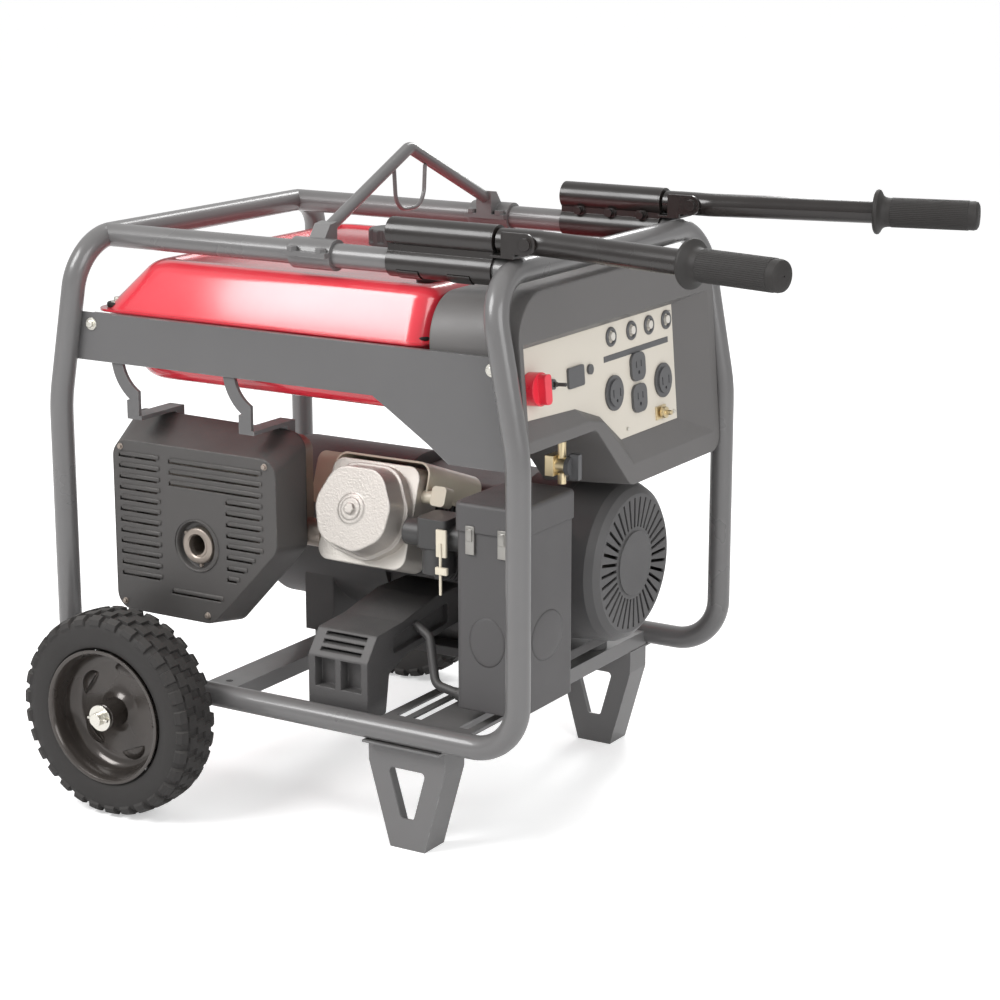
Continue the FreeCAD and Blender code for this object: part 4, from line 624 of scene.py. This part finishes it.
# %% [markdown]
# The fuel tank is two steel pressings welded at a flat seam.  Each half is a block with sloping
# sides whose corners are bevelled in two passes: first the four slanting edges with a large
# radius, then the rim of the top with a smaller one.  A shallow step pressed into the top and the
# seam flange finish it.

# %% Fuel tank
def frustum(bm, low_rect, low_z, high_rect, high_z):
    """A block between two rectangles (x0, x1, half width) at two heights."""
    made = bmesh.ops.create_cube(bm, size=1.0)["verts"]
    for vert in made:
        x0, x1, half = high_rect if vert.co.z > 0 else low_rect
        vert.co.x = x1 if vert.co.x > 0 else x0
        vert.co.y = half if vert.co.y > 0 else -half
        vert.co.z = high_z if vert.co.z > 0 else low_z


def upright(edge):
    a, b = (v.co for v in edge.verts)
    return abs(a.z - b.z) > 0.02


tank_low, tank_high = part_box("fuel_tank")
SEAM_Z = 0.598
TOP_Z = 0.660
bm = bmesh.new()
seam_rect = (tank_low[0] + 0.004, tank_high[0] - 0.004, tank_high[1] - 0.004)
frustum(bm, seam_rect, SEAM_Z, (seam_rect[0] + 0.060, seam_rect[1], seam_rect[2] - 0.022), TOP_Z)
bevel(bm, [e for e in bm.edges if upright(e)], 0.030, 6)
bevel(bm, [e for e in bm.edges if all(v.co.z > TOP_Z - 1e-4 for v in e.verts)], 0.015, 6)
top = max(bm.faces, key=lambda f: f.calc_center_median().z)
bmesh.ops.inset_region(bm, faces=[top], thickness=0.008, depth=0.0)
bmesh.ops.inset_region(bm, faces=[top], thickness=0.0035, depth=-0.0030)
lower = bmesh.new()
frustum(lower, (seam_rect[0] + 0.056, seam_rect[1] - 0.030, seam_rect[2] - 0.012), tank_low[2] + 0.0005,
        seam_rect, SEAM_Z)
bevel(lower, [e for e in lower.edges if upright(e)], 0.030, 6)
bevel(lower, [e for e in lower.edges if all(v.co.z < tank_low[2] + 1e-3 for v in e.verts)], 0.014, 6)
flange = bmesh.new()
frustum(flange, (tank_low[0], tank_high[0], tank_high[1]), SEAM_Z - 0.0015,
        (tank_low[0], tank_high[0], tank_high[1]), SEAM_Z + 0.0015)
bevel(flange, [e for e in flange.edges if abs(e.verts[0].co.z - e.verts[1].co.z) > 0.002], 0.026, 6)
for extra in (lower, flange):
    mesh = bpy.data.meshes.new("scratch")
    extra.to_mesh(mesh)
    extra.free()
    bm.from_mesh(mesh)
    bpy.data.meshes.remove(mesh)
bmesh.ops.recalc_face_normals(bm, faces=bm.faces)
piece("tank_shell", bm, "root", tank_enamel, ["fuel_tank"], 24.0)

# %% [markdown]
# A round fuel gauge sits in the tank top near the filler: a bezel with a slightly domed lens.
# The tank is held at the seam by bolts that sit on rubber washers.

# %% Gauge and bolts
bm = bmesh.new()
gauge = Vector((tank_high[0] - 0.044, -0.150, TOP_Z))
lathe(bm, [(-2, 18), (3.4, 18), (5.2, 16.6), (5.2, 14.6), (3.6, 13.6), (4.4, 8), (4.8, 0.4), (-2, 0.4)],
      gauge, (0, 0, 1), 40)
closed_up(bm)
piece("fuel_gauge", bm, "root", black_moulding)
washers = bmesh.new()
bolts = bmesh.new()
for x in (tank_low[0] + 0.022, tank_high[0] - 0.022):
    for y in (-0.206, 0.206):
        lathe(washers, [(0, 5), (0, 13), (1.5, 14), (4.5, 14), (6, 13), (6, 5)],
              (x, y, SEAM_Z + 0.0015), (0, 0, 1), 32)
        join_bolt(bolts, (x, y, SEAM_Z + 0.0070), (0, 0, 1), 0.0050)
closed_up(washers)
piece("tank_washers", washers, "root", grip_rubber)
panel_low, panel_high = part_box("side_panel_left")
for y, way in ((panel_low[1], -1), (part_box("side_panel_right")[1][1], 1)):
    for x in (panel_low[0] + 0.026, panel_high[0] - 0.026):
        join_bolt(bolts, (x, y, panel_high[2] - 0.014), (0, way, 0), 0.0042)
piece("frame_bolts", bolts, "root", zinc_plate)

# %% [markdown]
# Each slot of the muffler shield is a louvre: a rib is pressed out above it, so it reads as a short
# bright line over a dark one.  The rows follow the slots of the frame model, measured from the
# corner of the shield.  The tail pipe comes out in a round dish with three screws.

# %% Muffler shield
shield_low, shield_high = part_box("muffler_shield")
FIRST_ROW = 0.0460
ROW_PITCH = 0.0136
LEFT_START, LEFT_END = 0.023, 0.081
LONG_START, LONG_END = 0.100, 0.235
SHORT_START = 0.185
BOTTOM_END = 0.174
ROW_SHORTENS = 0.012
rows = [(LEFT_START, LEFT_END, row) for row in range(12)]
rows += [(LONG_START, LONG_END, row) for row in range(3)]
rows += [(SHORT_START, LONG_END - ROW_SHORTENS * max(0, row - 7), row) for row in range(3, 11)]
rows += [(LONG_START, BOTTOM_END, 12)]
bm = bmesh.new()
for start, end, row in rows:
    z = shield_high[2] - FIRST_ROW - ROW_PITCH * row
    block(bm, (shield_low[0] + start - 0.001, shield_low[1] - 0.0018, z - 0.0022),
          (shield_low[0] + end + 0.001, shield_low[1] + 0.0010, z + 0.0032), 0.0012, 2)
piece("louvre_ribs", bm, "root", muffler_steel)
outlet = Vector((shield_low[0] + 0.137, shield_low[1], shield_high[2] - 0.148))
bm = bmesh.new()
lathe(bm, [(0.4, 33), (1.6, 32), (1.2, 30.6), (-7, 28.4), (-8, 21), (-9.5, 21), (-9, 29.5), (-0.8, 31.8)],
      outlet, (0, -1, 0), 48)
closed_up(bm)
piece("outlet_dish", bm, "root", muffler_steel)
bm = bmesh.new()
lathe(bm, [(-8, 20.2), (-8, 22.5), (-2, 22.5), (0, 21.6), (0.8, 20.2), (0.8, 15.2), (-0.6, 13.4),
           (-9, 13.4)], outlet, (0, -1, 0), 48)
closed_up(bm)
for number in range(3):
    turn = math.tau * (number + 0.25) / 3
    join_bolt(bm, outlet + Vector((math.cos(turn) * 0.0256, 0.0078, math.sin(turn) * 0.0256)), (0, -1, 0),
              0.0020, 1.4)
SCREW_IN = 0.022
SCREW_DOWN = 0.0375
SCREW_UP = 0.018
for x, z in ((shield_low[0] + SCREW_IN, shield_high[2] - SCREW_DOWN),
             (shield_high[0] - SCREW_IN, shield_high[2] - SCREW_DOWN),
             (shield_low[0] + SCREW_IN, shield_low[2] + SCREW_UP),
             (shield_high[0] - 0.112, shield_low[2] + SCREW_UP)):
    join_bolt(bm, (x, shield_low[1], z), (0, -1, 0), 0.0026, 1.6)
piece("outlet_collar", bm, "root", exhaust_steel)

# %% [markdown]
# The control panel leans back by a few degrees.  One matrix stands for a spot on its face, with X
# pointing out of the plate, so its trim can be built flat: a dark printed band, surrounds for the
# breaker buttons and small screws at the corners.

# %% Control panel trim
plate_low, plate_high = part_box("panel_plate")
LEAN = math.radians(4.4)


def on_panel(y, z):
    x = plate_high[0] - (z - plate_low[2]) * math.tan(LEAN)
    return Matrix.Translation((x, y, z)) @ Matrix.Rotation(-LEAN, 4, "Y")


bm = bmesh.new()
block(bm, (-0.0006, -0.080, -0.0036), (0.0006, 0.080, 0.0036), 0.0004, 1, on_panel(0.053, 0.5610))
for number in range(1, 5):
    low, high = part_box("breaker_button_%d" % number)
    radius = (high[1] - low[1]) * 500
    spot = on_panel((low[1] + high[1]) / 2, (low[2] + high[2]) / 2)
    outline = [(-0.5, radius + 0.4), (-0.5, radius + 4.6), (1.6, radius + 4.6), (2.6, radius + 3.6),
               (2.6, radius + 1.6), (1.4, radius + 0.4)]
    lathe(bm, outline, spot.to_translation(), spot.to_3x3() @ Vector((1, 0, 0)), 32)
closed_up(bm)
piece("panel_print", bm, "root", socket_plastic)
bm = bmesh.new()
for y, z in ((plate_low[1] + 0.008, plate_high[2] - 0.008), (plate_high[1] - 0.008, plate_high[2] - 0.008),
             (plate_high[1] - 0.008, plate_low[2] + 0.010), (0.020, plate_low[2] + 0.010)):
    spot = on_panel(y, z)
    join_bolt(bm, spot.to_translation(), spot.to_3x3() @ Vector((1, 0, 0)), 0.0017, 1.3)
piece("panel_screws", bm, "root", zinc_plate)

# %% [markdown]
# The air cleaner lid is held by two spring clips.  Shallow oval pads are moulded into the sides of
# its case, which stiffen the thin wall.

# %% Air cleaner details
case_low, case_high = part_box("air_cleaner_case")
lid_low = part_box("air_cleaner_lid")[0]
bm = bmesh.new()
for x in (case_low[0] + 0.022, case_high[0] - 0.022):
    block(bm, (x - 0.006, case_low[1] - 0.0035, lid_low[2] - 0.026),
          (x + 0.006, case_low[1] + 0.0010, lid_low[2] + 0.008), 0.0010, 2)
    block(bm, (x - 0.004, case_low[1] - 0.0055, lid_low[2] - 0.010),
          (x + 0.004, case_low[1] - 0.0030, lid_low[2] + 0.004), 0.0008, 2)
piece("cleaner_clips", bm, "root", clip_steel)
bm = bmesh.new()
middle_x = (case_low[0] + case_high[0]) / 2
middle_y = (case_low[1] + case_high[1]) / 2
for place, size in (((middle_x, case_low[1], case_low[2] + 0.085), (0.024, 0.0022, 0.030)),
                    ((case_high[0], middle_y, case_low[2] + 0.085), (0.0022, 0.036, 0.030))):
    made = bmesh.ops.create_uvsphere(bm, u_segments=40, v_segments=20, radius=1.0)["verts"]
    bmesh.ops.scale(bm, verts=made, vec=size)
    bmesh.ops.translate(bm, verts=made, vec=place)
piece("cleaner_pads", bm, "root", cleaner_moulding)

# %% [markdown]
# The far end of the alternator is closed by a cast cover: a raised ring, ribs like spokes round a
# bearing boss, and four long bolts that hold the housing together.  A tab, a rod and a clamp beside
# the carburettor stand for the governor linkage.

# %% Alternator cover and governor linkage
house_low, house_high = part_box("alternator_stator")
end_centre = Vector((house_low[0], (house_low[1] + house_high[1]) / 2,
                     house_high[2] - (house_high[1] - house_low[1]) / 2))
bm = bmesh.new()
lathe(bm, [(-1, 84), (-1, 101), (3, 100), (5, 97), (5, 90), (3, 86)], end_centre, (-1, 0, 0), 72)
lathe(bm, [(-1, 1), (-1, 34), (6, 32), (8, 28), (8, 14), (5, 12), (5, 1)], end_centre, (-1, 0, 0), 48)
closed_up(bm)
for number in range(16):
    spoke = Matrix.Translation(end_centre) @ Matrix.Rotation(math.tau * number / 16, 4, "X")
    block(bm, (-0.0038, -0.0030, 0.031), (0.0010, 0.0030, 0.087), 0.0010, 2, spoke)
piece("alternator_cover", bm, "root", dark_casting)
bm = bmesh.new()
for number in range(4):
    turn = math.tau * (number + 0.5) / 4
    join_bolt(bm, end_centre + Vector((-0.0048, math.cos(turn) * 0.0935, math.sin(turn) * 0.0935)),
              (-1, 0, 0), 0.0030, 1.5)
piece("alternator_bolts", bm, "root", zinc_plate)
carb_low, carb_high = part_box("carburettor")
bm = bmesh.new()
linkage_x = (carb_low[0] + carb_high[0]) / 2 + 0.018
block(bm, (linkage_x - 0.007, carb_low[1] - 0.0030, 0.345), (linkage_x + 0.007, carb_low[1] + 0.001, 0.378),
      0.0010, 2)
block(bm, (linkage_x - 0.0015, carb_low[1] - 0.0050, 0.300),
      (linkage_x + 0.0015, carb_low[1] - 0.0022, 0.362), 0.0006, 1)
block(bm, (linkage_x - 0.006, carb_low[1] - 0.0065, 0.325),
      (linkage_x + 0.010, carb_low[1] - 0.0015, 0.334), 0.0010, 2)
piece("governor_linkage", bm, "root", cream_enamel)
